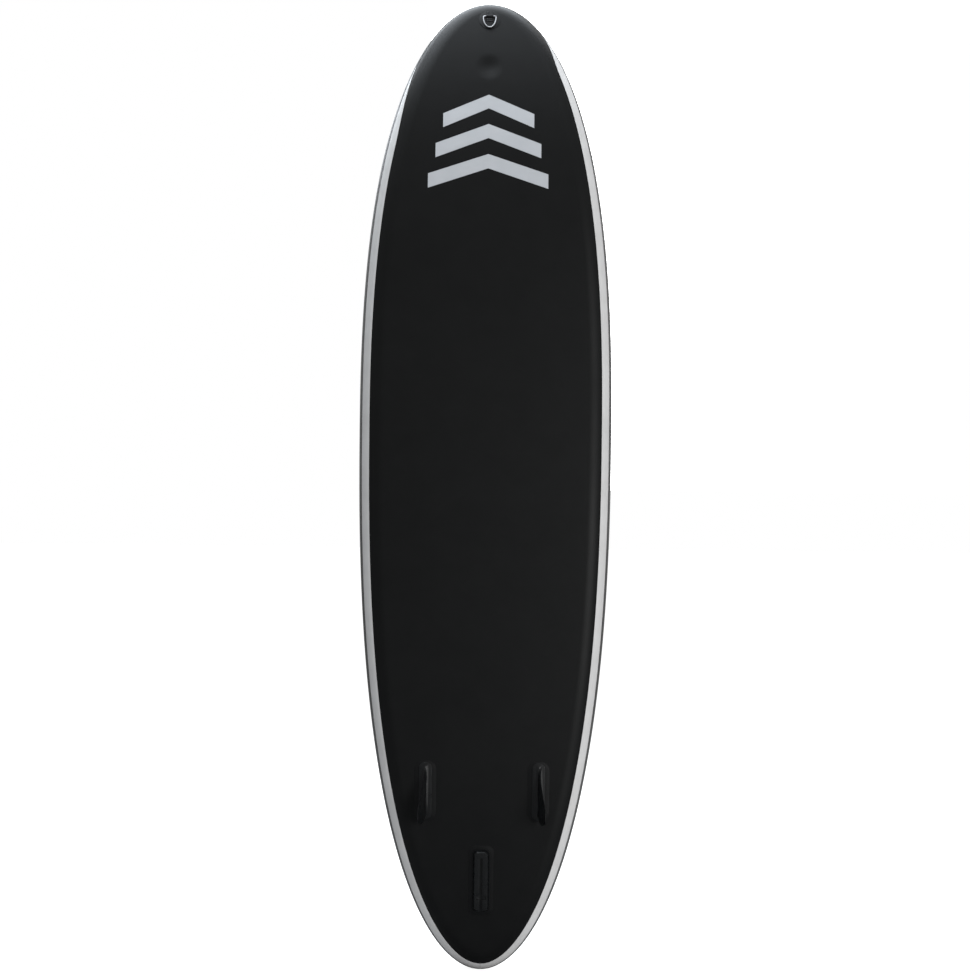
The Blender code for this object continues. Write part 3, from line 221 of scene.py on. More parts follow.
# The photograph's view
IMAGE_WIDTH = 970
CAMERA_DISTANCE = 6.0
CAMERA_HEIGHT = 1.584
LENS_PIXELS = 1831.6
CAMERA_ROLL = math.radians(0.59)
SENSOR = 36.0

# The studio
AMBIENT = 0.36
FLOOR_REACH = 40
FLOOR_GREY = (0.45, 0.45, 0.45)
FLOOR_GLOW = 0.9
WHITE = (1, 1, 1)
COOL = (0.86, 0.93, 1.0)
# Name, place, target, size, power, colour, and whether the camera sees it
LIGHTS = (
    ("key_right", (2.7, -4.2, 1.2), (0, 0, 1.4), (2.2, 2.8), 165, WHITE, True),
    ("top", (-0.1, -1.4, 5.6), (0, 0, 2.5), (3.4, 2.0), 66, COOL, True),
    ("rim_over", (-0.5, 0.6, 5.5), (0, 0, 2.9), (4.0, 2.2), 200, COOL, True),
    ("rim_behind", (-1.4, 2.6, 4.4), (0, 0, 2.9), (3.0, 2.4), 90, COOL, False),
    ("rim_right", (2.0, 1.6, 5.0), (0, 0, 2.9), (2.4, 2.2), 6, WHITE, False),
    ("deck_side", (1.2, 4.5, 3.0), (0, 0, 1.6), (3.0, 3.0), 110, WHITE, True),
)


# The board's shape


def lift_angle(along):
    """Angle of the hull to the board's straight middle part."""
    nose = np.clip((along - HULL_LENGTH + NOSE_LIFT_LENGTH) / NOSE_LIFT_LENGTH, 0, None)
    tail = np.clip((TAIL_LIFT_LENGTH - along) / TAIL_LIFT_LENGTH, 0, None)
    return NOSE_LIFT_ANGLE * nose**LIFT_POWER - TAIL_LIFT_ANGLE * tail**LIFT_POWER


def middle_line():
    """The middle surface seen from the side: along, y and z, a little past both ends."""
    spare, points = 0.05, 3321
    along = np.linspace(-spare, HULL_LENGTH + spare, points)
    angle = lift_angle(along)
    step = along[1] - along[0]
    y = np.concatenate([[0], np.cumsum((np.sin(angle[1:]) + np.sin(angle[:-1])) / 2 * step)])
    z = np.concatenate([[0], np.cumsum((np.cos(angle[1:]) + np.cos(angle[:-1])) / 2 * step)])
    return along, y - np.interp(0, along, y), z - np.interp(0, along, z)


LINE_ALONG, LINE_Y, LINE_Z = middle_line()


def place(across, along, level):
    """World position of a place on the board; a negative level is on the deck side."""
    angle = float(lift_angle(along))
    y = float(np.interp(along, LINE_ALONG, LINE_Y)) - level * math.cos(angle)
    z = float(np.interp(along, LINE_ALONG, LINE_Z)) + level * math.sin(angle)
    return Vector((across, y, z))


def outline_half_width(along):
    reach = HULL_LENGTH - WIDEST_POINT if along > WIDEST_POINT else WIDEST_POINT
    share = min(1, abs(along - WIDEST_POINT) / reach)
    return BOARD_WIDTH / 2 * math.sqrt(1 - share**OUTLINE_FULLNESS)


def stations():
    """The seam between the flat faces and the round rail, with its outward direction, tail to nose."""
    half, power = BOARD_WIDTH / 2, 2 / OUTLINE_FULLNESS
    result = []
    for step in range(-TAIL_STATIONS, NOSE_STATIONS + 1):
        nose = step > 0
        end = 1 if nose else -1
        count = NOSE_STATIONS if nose else TAIL_STATIONS
        reach = HULL_LENGTH - WIDEST_POINT if nose else WIDEST_POINT
        turn = math.pi / 2 * abs(step) / count
        edge = Vector((half * math.cos(turn), WIDEST_POINT + end * reach * math.sin(turn) ** power))
        outward = Vector((reach * power * math.cos(turn), end * half * math.sin(turn) ** (2 - power)))
        outward.normalize()
        seam = edge - BAND_LEVEL * outward
        if abs(step) == count:
            seam.x = 0
            outward = Vector((0, end))
        result.append((seam, outward))
    return result


STATIONS = stations()


def rail_point(station, degrees, level):
    """A point on the port rail; 0 degrees is the hull face, 90 the outermost line, 180 the deck."""
    seam, outward = STATIONS[station]
    turn = math.radians(degrees)
    out = level * math.sin(turn)
    return place(seam.x + out * outward.x, seam.y + out * outward.y, level * math.cos(turn))


def sidewall_edge(station, sign):
    """Angle where a sidewall's edge lies; near the nose it retreats under the rail band."""
    behind = HULL_LENGTH - BAND_LEVEL - STATIONS[station][0].y
    start, end = NOSE_WRAP[sign]
    share = min(1, max(0, (start - behind) / (start - end)))
    hidden = BAND_EDGE_ANGLE - 1
    return SIDEWALL_EDGE_ANGLE + (hidden - SIDEWALL_EDGE_ANGLE) * share**1.5


def dimple(across, along):
    radius = math.hypot(across, along - VALVE_ALONG)
    if radius >= DIMPLE_RADIUS:
        return 0
    return DIMPLE_DEPTH * math.cos(math.pi / 2 * radius / DIMPLE_RADIUS) ** 2


# Meshes


def add_object(name, data):
    obj = bpy.data.objects.new(name, data)
    bpy.context.scene.collection.objects.link(obj)
    return obj


def to_object(name, bm):
    mesh = bpy.data.meshes.new(name)
    bm.to_mesh(mesh)
    bm.free()
    return add_object(name, mesh)


def evaluated_mesh(obj):
    """A new mesh of the object, with its modifiers or its curve's thickness."""
    graph = bpy.context.evaluated_depsgraph_get()
    return bpy.data.meshes.new_from_object(obj.evaluated_get(graph))


def modify(obj, kind, **settings):
    """Adds a modifier with its settings and applies it."""
    modifier = obj.modifiers.new(kind, kind)
    for name, value in settings.items():
        setattr(modifier, name, value)
    mesh = evaluated_mesh(obj)
    obj.modifiers.clear()
    obj.data = mesh


def solidify(obj, thickness):
    modify(obj, "SOLIDIFY", thickness=thickness, offset=-1, use_even_offset=True)


def bevel(obj, width, segments, angle):
    """Rounds the edges whose faces meet at more than the angle."""
    limit = math.radians(angle)
    modify(obj, "BEVEL", width=width, segments=segments, limit_method="ANGLE", angle_limit=limit)


def boolean(obj, other, operation="DIFFERENCE"):
    modify(obj, "BOOLEAN", operation=operation, solver="EXACT", object=other)
    bpy.data.objects.remove(other)


def smooth(obj, angle):
    """Smooth shading, with sharp edges where faces meet at more than the angle."""
    obj.data.shade_smooth()
    obj.data.set_sharp_from_angle(angle=math.radians(angle))


def lofted(name, *stacks):
    """Solids, each closed round a stack of loops that have as many points as each other."""
    bm = bmesh.new()
    for stack in stacks:
        loops = [[bm.verts.new(point) for point in loop] for loop in stack]
        for low, high in zip(loops, loops[1:]):
            for corners in zip(low, low[1:] + low[:1], high[1:] + high[:1], high):
                bm.faces.new(corners)
        bm.faces.new(loops[0])
        bm.faces.new(loops[-1])
    bmesh.ops.recalc_face_normals(bm, faces=bm.faces[:])
    return to_object(name, bm)


def extruded(name, outline, low, high):
    """A solid: an outline of (x, y) points, extruded from low to high."""
    return lofted(name, [[(x, y, z) for x, y in outline] for z in (low, high)])


def rounded_rectangle(width, length, corner, count=9, centre=(0, 0)):
    """Outline with a count of points in each round corner."""
    x, y = width / 2 - corner, length / 2 - corner
    points = []
    for quarter, (cx, cy) in enumerate(((x, y), (-x, y), (-x, -y), (x, -y))):
        for k in range(count):
            t = math.pi / 2 * (quarter + k / (count - 1))
            points.append((centre[0] + cx + corner * math.cos(t), centre[1] + cy + corner * math.sin(t)))
    return points


def circle_outline(radius, count=72, centre=(0, 0)):
    turns = [2 * math.pi * k / count for k in range(count)]
    return [(centre[0] + radius * math.cos(t), centre[1] + radius * math.sin(t)) for t in turns]


def make_wire(name, points, thickness, roundness, closed):
    """A round wire along a line of points."""
    curve = bpy.data.curves.new(name, "CURVE")
    curve.dimensions = "3D"
    curve.bevel_depth = thickness / 2
    curve.bevel_resolution = roundness
    curve.use_fill_caps = not closed
    spline = curve.splines.new("POLY")
    spline.points.add(len(points) - 1)
    for point, co in zip(spline.points, points):
        point.co = (*co, 1)
    spline.use_cyclic_u = closed
    line = add_object(name + "_line", curve)
    mesh = evaluated_mesh(line)
    bpy.data.objects.remove(line)
    mesh.shade_smooth()
    return add_object(name, mesh)


def cut_along(obj, step):
    """Cuts a flat piece into short lengths, so that it can bend with the board."""
    bm = bmesh.new()
    bm.from_mesh(obj.data)
    low = min(v.co.y for v in bm.verts)
    high = max(v.co.y for v in bm.verts)
    for k in range(1, int((high - low) / step) + 1):
        everything = bm.verts[:] + bm.edges[:] + bm.faces[:]
        bmesh.ops.bisect_plane(bm, geom=everything, plane_co=(0, low + k * step, 0), plane_no=(0, 1, 0))
    bm.to_mesh(obj.data)
    bm.free()


def finish_piece(obj, slot, material, *nodes, body="board"):
    """Gives a piece its material and its body, and hides the construction nodes that it stands for."""
    obj.data.materials.clear()
    obj.data.materials.append(material)
    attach(obj, body)
    if nodes:
        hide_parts(*nodes)


def lay(obj, side, angle, slot, material, *nodes, base=SKIN_LEVEL, step=None):
    """Bends a flat piece onto the hull or the deck, a long one after cuts at each step, and finishes it."""
    if step:
        cut_along(obj, step)
    for vert in obj.data.vertices:
        x, y, z = vert.co
        vert.co = place(side * x, y, side * (base + z))
    obj.data.update()
    smooth(obj, angle)
    finish_piece(obj, slot, material, *nodes)


# Materials


def fill_sockets(tree, node, values):
    """Links a node's sockets to outputs of other nodes, or gives them plain values."""
    for name, value in values.items():
        if isinstance(value, bpy.types.NodeSocket):
            tree.links.new(value, node.inputs[name])
        else:
            node.inputs[name].default_value = value


def add_node(tree, kind, output, values, **settings):
    """Adds a shader node, fills its sockets and returns one of its outputs."""
    node = tree.nodes.new("ShaderNode" + kind)
    for name, value in settings.items():
        setattr(node, name, value)
    fill_sockets(tree, node, values)
    return node.outputs[output]


class Recipe:
    """A Principled material and short calls that add texture nodes to it."""

    def __init__(self, name, colour, roughness, metallic=0.0, specular=0.5):
        self.material = bpy.data.materials.new(name)
        self.material.use_nodes = True
        self.tree = self.material.node_tree
        self.shader = self.tree.nodes["Principled BSDF"]
        self.set_shader("Base Color", (*colour, 1))
        self.set_shader("Roughness", roughness)
        self.set_shader("Metallic", metallic)
        self.set_shader("Specular IOR Level", specular)
        self.place = self.tree.nodes.new("ShaderNodeTexCoord").outputs["Object"]
        self.normal = None

    def set_shader(self, name, value):
        fill_sockets(self.tree, self.shader, {name: value})

    def noise(self, scale, detail=2.0, roughness=0.5, stretch=(1, 1, 1)):
        at = add_node(self.tree, "Mapping", "Vector", {"Scale": stretch, "Vector": self.place})
        values = {"Vector": at, "Scale": scale, "Detail": detail, "Roughness": roughness}
        return add_node(self.tree, "TexNoise", "Fac", values)

    def weave(self, scale, distortion=0.0):
        """Ribs across and along."""
        values = {"Vector": self.place, "Scale": scale, "Distortion": distortion}
        ribs = [add_node(self.tree, "TexWave", "Fac", values, bands_direction=d) for d in "XZ"]
        return add_node(self.tree, "Math", "Value", dict(enumerate(ribs)), operation="MULTIPLY")

    def spread(self, texture, low, high, start=0.3, end=0.7):
        """Maps a texture's range from start to end onto low to high."""
        values = {"Value": texture, "From Min": start, "From Max": end, "To Min": low, "To Max": high}
        return add_node(self.tree, "MapRange", "Result", values)

    def vary_colour(self, texture, first, second, *span):
        values = {"Factor": self.spread(texture, 0, 1, *span), "A": (*first, 1), "B": (*second, 1)}
        self.set_shader("Base Color", add_node(self.tree, "Mix", "Result", values, data_type="RGBA"))

    def vary_roughness(self, texture, low, high):
        self.set_shader("Roughness", self.spread(texture, low, high))

    def bump(self, height, distance, strength):
        values = {"Height": height, "Distance": distance, "Strength": strength}
        if self.normal:
            values["Normal"] = self.normal
        self.normal = add_node(self.tree, "Bump", "Normal", values)
        self.set_shader("Normal", self.normal)


def coated_fabric(name, colour, shade, roughness, specular):
    """PVC-coated fabric: faint weave under the coating, satin with cloudy gloss, hardly any dust."""
    recipe = Recipe(name, colour, roughness[0], specular=specular)
    recipe.vary_roughness(recipe.noise(3.0, 3.0), *roughness)
    recipe.vary_colour(recipe.noise(14.0, 4.0), colour, shade)
    recipe.bump(recipe.weave(420), 0.04 * MM, 0.5)
    recipe.bump(recipe.noise(260.0), 0.05 * MM, 0.35)
    recipe.bump(recipe.noise(4.5, 1.0, stretch=(1, 1, 0.5)), 2.0 * MM, 0.10)
    return recipe.material


def moulded_plastic(name, colour, roughness):
    recipe = Recipe(name, colour, roughness, specular=0.16)
    recipe.vary_roughness(recipe.noise(40.0, 3.0), roughness - 0.06, roughness + 0.08)
    recipe.bump(recipe.noise(900.0), 0.03 * MM, 0.5)
    return recipe.material


def satin_steel():
    recipe = Recipe("ring_steel", (0.19, 0.19, 0.195), 0.36, metallic=1.0)
    recipe.vary_roughness(recipe.noise(180.0, 3.0), 0.29, 0.43)
    recipe.bump(recipe.noise(1200.0, stretch=(1, 1, 6)), 0.01 * MM, 0.4)
    return recipe.material


def eva_foam(name, colour, shade):
    """Closed-cell foam with a brushed face."""
    recipe = Recipe(name, colour, 0.85, specular=0.3)
    recipe.vary_colour(recipe.noise(700.0, 3.0), colour, shade)
    recipe.bump(recipe.noise(1400.0, 3.0, 0.6), 0.12 * MM, 0.7)
    recipe.bump(recipe.noise(60.0), 0.1 * MM, 0.4)
    return recipe.material


def woven_webbing(name, colour, shade, pitch=1.6 * MM):
    """Webbing with plain-weave ribs across and along."""
    recipe = Recipe(name, colour, 0.7, specular=0.15)
    ribs = recipe.weave(2 * math.pi / pitch / 20)
    recipe.vary_colour(ribs, shade, colour, 0.0, 0.6)
    recipe.bump(ribs, 0.3 * MM, 0.8)
    recipe.bump(recipe.noise(1500.0), 0.05 * MM, 0.5)
    return recipe.material


def knit(name, colour, shade):
    recipe = Recipe(name, colour, 0.8, specular=0.2)
    loops = recipe.weave(300, 1.5)
    recipe.vary_colour(loops, shade, colour, 0.0, 0.7)
    recipe.bump(loops, 0.15 * MM, 0.8)
    return recipe.material


def soft_rubber(name, colour):
    recipe = Recipe(name, colour, 0.6, specular=0.4)
    recipe.vary_roughness(recipe.noise(90.0, 3.0), 0.5, 0.7)
    recipe.bump(recipe.noise(700.0), 0.04 * MM, 0.5)
    return recipe.material


def drop_stitch_yarns():
    """Rows of yarn ends, seen only where the core shows."""
    recipe = Recipe("drop_stitch_yarns", (0.55, 0.55, 0.52), 0.85, specular=0.2)
    rows = recipe.weave(90)
    recipe.vary_colour(rows, (0.38, 0.38, 0.36), (0.62, 0.62, 0.59), 0.0, 0.8)
    recipe.bump(rows, 0.4 * MM, 0.7)
    return recipe.material


BLACK_PVC = coated_fabric(
    "black_pvc", (0.0026, 0.0028, 0.0029), (0.0034, 0.0036, 0.0037), (0.39, 0.49), 0.09
)
PATCH_PVC = coated_fabric(
    "patch_pvc", (0.0023, 0.0025, 0.0027), (0.0031, 0.0033, 0.0035), (0.34, 0.44), 0.10
)
GREY_PVC = coated_fabric(
    "light_grey_pvc", (0.575, 0.57, 0.565), (0.52, 0.515, 0.51), (0.40, 0.50), 0.3
)
DARK_GREY_PVC = coated_fabric(
    "dark_grey_pvc", (0.052, 0.051, 0.050), (0.043, 0.042, 0.042), (0.46, 0.56), 0.25
)
PRINT_GREY = coated_fabric(
    "print_grey", (0.41, 0.422, 0.44), (0.38, 0.392, 0.41), (0.42, 0.52), 0.35
)
BLACK_PLASTIC = moulded_plastic("black_plastic", (0.0036, 0.004, 0.0044), 0.30)
FIN_PLASTIC = moulded_plastic("fin_plastic", (0.0036, 0.004, 0.0044), 0.32)
STEEL = satin_steel()
EVA = eva_foam("eva_foam", (0.050, 0.054, 0.058), (0.068, 0.073, 0.078))
EVA_LIGHT = eva_foam("eva_foam_light", (0.13, 0.138, 0.145), (0.16, 0.168, 0.176))
WEBBING = woven_webbing("webbing", (0.011, 0.0115, 0.0125), (0.003, 0.003, 0.0035))
NEOPRENE = knit("neoprene", (0.028, 0.029, 0.031), (0.012, 0.012, 0.013))
THREAD = woven_webbing("thread", (0.32, 0.33, 0.34), (0.20, 0.20, 0.21), 0.6 * MM)
RUBBER = soft_rubber("rubber", (0.02, 0.02, 0.02))


def dress_nodes():
    """Gives the construction nodes that stay in view, or inside, their materials."""
    slots = {
        "black_pvc": PATCH_PVC,
        "light_grey_pvc": GREY_PVC,
        "dark_grey_pvc": DARK_GREY_PVC,
        "drop_stitch": drop_stitch_yarns(),
        "steel": STEEL,
        "black_plastic": BLACK_PLASTIC,
        "eva_foam": EVA,
        "eva_foam_light": EVA_LIGHT,
        "webbing": WEBBING,
        "neoprene": NEOPRENE,
        "rubber": RUBBER,
    }
    finish = {part["node"]: part["material_slot"] for part in frame["record"]["subparts"]}
    for name, node in frame["nodes"].items():
        for slot in node.material_slots:
            slot.material = slots[finish[name]]


# The inflatable body


def add_grid(bm, rows):
    """Faces between rows of points, each with as many points as the first."""
    verts = [[bm.verts.new(p) for p in row] for row in rows]
    for low, high in zip(verts, verts[1:]):
        for corners in zip(low, low[1:], high[1:], high):
            bm.faces.new(corners)


def add_flat(bm, side):
    """The port half of a flat face, with the hull's dimple or the deck's valve hole."""
    points, edges, axis = [], [], []

    def point(x, y):
        points.append(Vector((x, y)))
        if x == 0:
            axis.append(len(points) - 1)
        return len(points) - 1

    previous = None
    for seam, _ in STATIONS:
        middle = point(0, seam.y)
        edge = point(seam.x, seam.y) if seam.x > 0 else middle
        if edge != middle:
            edges.append((middle, edge))
        if previous is not None:
            edges.append((previous, edge))
        previous = edge
    radii = [VALVE_HOLE_RADIUS]
    if side == HULL:
        radii = [DIMPLE_RADIUS * k / DIMPLE_RINGS for k in range(1, DIMPLE_RINGS + 1)]
    for radius in radii:
        turns = [math.pi * (k / HALF_TURN_STEPS - 0.5) for k in range(1, HALF_TURN_STEPS)]
        arc = [point(radius * math.cos(t), VALVE_ALONG + radius * math.sin(t)) for t in turns]
        arc = [point(0, VALVE_ALONG - radius), *arc, point(0, VALVE_ALONG + radius)]
        edges += list(zip(arc, arc[1:]))
    if side == HULL:
        point(0, VALVE_ALONG)
    axis.sort(key=lambda i: points[i].y)
    edges += list(zip(axis, axis[1:]))
    verts, _, faces, *_ = delaunay_2d_cdt(points, edges, [], 1, 1e-6)
    corners = []
    for x, y in verts:
        sunk = dimple(x, y) if side == HULL else 0
        corners.append(bm.verts.new(place(x, y, side * (SKIN_LEVEL - sunk))))
    for face in faces:
        centre = sum((verts[i] for i in face), Vector((0, 0))) / len(face)
        if side == DECK and (centre - Vector((0, VALVE_ALONG))).length < VALVE_HOLE_RADIUS:
            continue
        made = bm.faces.new([corners[i] for i in face])
        made.normal_update()
        if made.normal.y * side > 0:
            made.normal_flip()
    loose = [v for v in bm.verts if not v.link_faces]
    bmesh.ops.delete(bm, geom=loose, context="VERTS")


def make_skin(name, side, node):
    """A face's skin: flat in the middle, wrapped round both rails, with its own thickness."""
    angles = [BAND_EDGE_ANGLE * k / WRAP_STEPS for k in range(WRAP_STEPS + 1)]
    if side == DECK:
        angles = [180 - angle for angle in reversed(angles)]
    bm = bmesh.new()
    add_grid(bm, [[rail_point(i, a, SKIN_LEVEL) for i in range(len(STATIONS))] for a in angles])
    bmesh.ops.reverse_faces(bm, faces=bm.faces[:])
    add_flat(bm, side)
    bmesh.ops.remove_doubles(bm, verts=bm.verts[:], dist=MERGE_DISTANCE)
    bmesh.ops.dissolve_degenerate(bm, edges=bm.edges[:], dist=MERGE_DISTANCE / 2)
    everything = bm.verts[:] + bm.edges[:] + bm.faces[:]
    bmesh.ops.mirror(bm, geom=everything, merge_dist=MERGE_DISTANCE, axis="X")
    bmesh.ops.recalc_face_normals(bm, faces=bm.faces[:])
    skin = to_object(name, bm)
    flat = max(skin.data.polygons, key=lambda p: p.area)
    if flat.normal.y * side > 0:
        skin.data.flip_normals()
    solidify(skin, SKIN_THICKNESS)
    smooth(skin, 50)
    finish_piece(skin, "black_pvc", BLACK_PVC, node)


def make_strip(name, level, edge, steps, sign, slot, material, node):
    """A strip round one rail, from an edge angle that may change along the board to its mirror."""
    rows = []
    for k in range(steps + 1):
        row = []
        for i in range(len(STATIONS)):
            low = edge(i)
            p = rail_point(i, low + (180 - low - low) * k / steps, level)
            p.x = sign * max(p.x, SEAM_WIDTH / 2)
            row.append(p)
        rows.append(row)
    bm = bmesh.new()
    add_grid(bm, rows)
    strip = to_object(name, bm)
    middle = strip.data.polygons[len(strip.data.polygons) // 2]
    if middle.normal.x * sign < 0:
        strip.data.flip_normals()
    solidify(strip, TAPE_THICKNESS)
    smooth(strip, 50)
    finish_piece(strip, slot, material, node)


def make_body():
    make_skin("hull_skin", HULL, "bottom_skin")
    make_skin("deck_cover", DECK, "deck_skin")
    for side, sign in (("port", 1), ("starboard", -1)):
        make_strip(
            f"side_strip_{side}", SIDEWALL_LEVEL, lambda i: sidewall_edge(i, sign), SIDEWALL_STEPS,
            sign, "light_grey_pvc", GREY_PVC, f"sidewall_{side}",
        )
        make_strip(
            f"outer_band_{side}", BAND_LEVEL, lambda i: BAND_EDGE_ANGLE, BAND_STEPS,
            sign, "dark_grey_pvc", DARK_GREY_PVC, f"rail_band_{side}",
        )


# Stitches and patches


def stitches(name, lines, side, base):
    """Rows of short thread stitches along flat lines, each given as two (across, along) ends."""
    radius = STITCH_RADIUS
    size = Matrix.Diagonal((STITCH_LENGTH / 2, radius, radius, 1))
    bm = bmesh.new()
    for start, end in lines:
        a, b = Vector(start), Vector(end)
        count = max(1, int((b - a).length / (STITCH_LENGTH + STITCH_GAP)))
        step = (b - a) / count
        turn = Matrix.Rotation(math.atan2(step.y, step.x), 4, "Z")
        for k in range(count):
            centre = a + step * (k + 0.5)
            at = Matrix.Translation((centre.x, centre.y, radius * 0.2)) @ turn
            bmesh.ops.create_icosphere(bm, subdivisions=1, radius=1, matrix=at @ size)
    lay(to_object(name, bm), side, 80, "webbing", THREAD, base=base)


def make_patch(name, outline, side, node):
    """A glued patch with softly rounded edges that lies on the skin."""
    patch = extruded(name, outline, GAP, GAP + PATCH_THICKNESS)
    bevel(patch, 0.45 * MM, segments=3, angle=40)
    lay(patch, side, 30, "black_pvc", PATCH_PVC, node, step=8 * MM)


# Rings with their straps


def strap_profile(bar_height):
    """Section of the webbing that loops over a ring's bar, as (along, height over the patch)."""
    steps = 24
    outer = bar_height + STRAP_WALL
    inner = bar_height
    foot, top = GAP, GAP + STRAP_THICKNESS
    half = STRAP_LENGTH / 2
    lean = math.asin((bar_height - top) / outer)
    dip = math.asin((inner - foot) / inner)
    crown = [-lean + (math.pi + 2 * lean) * k / steps for k in range(steps + 1)]
    tunnel = [math.pi + dip - (math.pi + 2 * dip) * k / steps for k in range(steps + 1)]
    points = [(half, foot), (half, top)]
    points += [(outer * math.cos(t), bar_height + outer * math.sin(t)) for t in crown]
    points += [(-half, top), (-half, foot)]
    points += [(inner * math.cos(t), bar_height + inner * math.sin(t)) for t in tunnel]
    return points


def make_strap(name, across, along, side, node):
    strap = extruded(name, strap_profile(RING_WIRE / 2 + GAP), -STRAP_WIDTH / 2, STRAP_WIDTH / 2)
    for vert in strap.data.vertices:
        y, z, x = vert.co
        vert.co = (across + x, along + y, z)
    bevel(strap, 0.35 * MM, segments=2, angle=60)
    lay(strap, side, 40, "webbing", WEBBING, node, base=SKIN_LEVEL + GAP + PATCH_THICKNESS)


def ring_points():
    """Centre line of the shield-shaped ring: its bar, rounded corners and half an oval below."""
    corner_steps, oval_steps = 8, 16
    corner = RING_CORNER
    half = (RING_WIDTH - RING_WIRE) / 2
    depth = RING_HEIGHT - RING_WIRE
    right = []
    for k in range(corner_steps + 1):
        t = math.pi / 2 * (1 - k / corner_steps)
        right.append((half - corner + corner * math.cos(t), corner * math.sin(t) - corner, 0))
    for k in range(1, oval_steps + 1):
        t = math.pi / 2 * k / oval_steps
        right.append((half * math.cos(t), -corner - (depth - corner) * math.sin(t), 0))
    return right + [(-x, y, z) for x, y, z in reversed(right[:-1])]


def joint_of(body):
    return next(joint for joint in frame["joints"] if joint["child"] == body)


def make_ring(name, body, node):
    """The steel ring in its packed place: on its joint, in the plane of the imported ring."""
    pivot = Vector(joint_of(body)["pos_m"])
    mesh = frame["nodes"][node].data
    away = sum((v.co for v in mesh.vertices), Vector()) / len(mesh.vertices) - pivot
    down = Vector((0, away.y, away.z)).normalized()
    across = Vector((1, 0, 0))
    axes = Matrix((across, -down, down.cross(across))).transposed().to_4x4()
    ring = make_wire(name, ring_points(), RING_WIRE, roundness=6, closed=True)
    ring.data.transform(Matrix.Translation(pivot) @ axes)
    finish_piece(ring, "steel", STEEL, node, body=body)


def make_ring_sets():
    edge = STRAP_WIDTH / 2 - STRAP_STITCH_MARGIN
    level = SKIN_LEVEL + 2 * GAP + PATCH_THICKNESS + STRAP_THICKNESS
    for prefix, (body, across, along, side) in RING_SETS.items():
        x = side * across
        outline = circle_outline(RING_PATCH_RADIUS, centre=(x, along - RING_PATCH_OFFSET))
        make_patch(f"{prefix}_ring_patch", outline, side, f"{prefix}_patch")
        make_strap(f"{prefix}_ring_strap", x, along, side, f"{prefix}_strap")
        make_ring(f"{prefix}_steel_ring", body, f"{prefix}_d_ring")
        lines = [((x - edge, along + y), (x + edge, along + y)) for y in STRAP_STITCH_ROWS]
        stitches(f"{prefix}_ring_stitches", lines, side, level)


# Fins


def make_fin_box():
    """The moulded box with its slot, the grooves in the slot's walls and the key notch."""
    centre = (0, FIN_BOX_ALONG)
    margin = FIN_BOX_PATCH_MARGIN
    size = (FIN_BOX_WIDTH + 2 * margin, FIN_BOX_LENGTH + 2 * margin)
    outline = rounded_rectangle(*size, FIN_BOX_PATCH_CORNER, centre=centre)
    make_patch("fin_box_base", outline, HULL, "fin_box_patch")
    top = ON_PATCH + FIN_BOX_HEIGHT
    insets_heights = ((0, ON_PATCH), (0, ON_PATCH + 5 * MM), (4.8 * MM, top - 1.5 * MM), (6.2 * MM, top))
    loops = []
    for inset, height in insets_heights:
        size = (FIN_BOX_WIDTH - 2 * inset, FIN_BOX_LENGTH - 2 * inset)
        points = rounded_rectangle(*size, FIN_BOX_CORNER - inset / 2, centre=centre)
        loops.append([(x, y, height) for x, y in points])
    box = lofted("fin_box_moulding", loops)
    rear = FIN_BOX_ALONG - FIN_BOX_LENGTH / 2
    front = FIN_BOX_ALONG + FIN_BOX_LENGTH / 2 - SLOT_FRONT_WALL
    length = front - rear + 2 * CUTTER_REACH
    middle = (0, (front + rear) / 2 - CUTTER_REACH)
    floor = top - SLOT_DEPTH
    slot = rounded_rectangle(SLOT_WIDTH, length, 1.2 * MM, 4, middle)
    boolean(box, extruded("slot", slot, floor, top + CUTTER_REACH))
    groove = rounded_rectangle(SLOT_GROOVE_WIDTH, length, 1 * MM, 3, middle)
    low, high = SLOT_GROOVE_SPAN
    boolean(box, extruded("groove", groove, floor + low, floor + high))
    width, depth, height = KEY_NOTCH
    notch = rounded_rectangle(width, depth, 2 * MM, 5, (0, rear + KEY_NOTCH_FROM_REAR))
    boolean(box, extruded("notch", notch, top - height, top + CUTTER_REACH))
    bevel(box, 0.8 * MM, segments=3, angle=35)
    lay(box, HULL, 30, "black_plastic", BLACK_PLASTIC, "fin_box", step=25 * MM)


def fin_section(share):
    """Leading edge, chord and thickness of a side fin at a share of its height; the tip closes in."""
    taper = SIDE_FIN_CHORD - SIDE_FIN_TIP_CHORD
    lead = -taper * (1.02 * share**0.8)
    chord = SIDE_FIN_CHORD - taper * share**1.15
    thickness = SIDE_FIN_THICKNESS * (1 - 0.55 * share)
    close = max(0, (share - 0.94) / 0.06)
    return lead - 2 * MM * close**2, chord - 4 * MM * close**2, thickness * math.sqrt(1 - 0.9 * close**2)


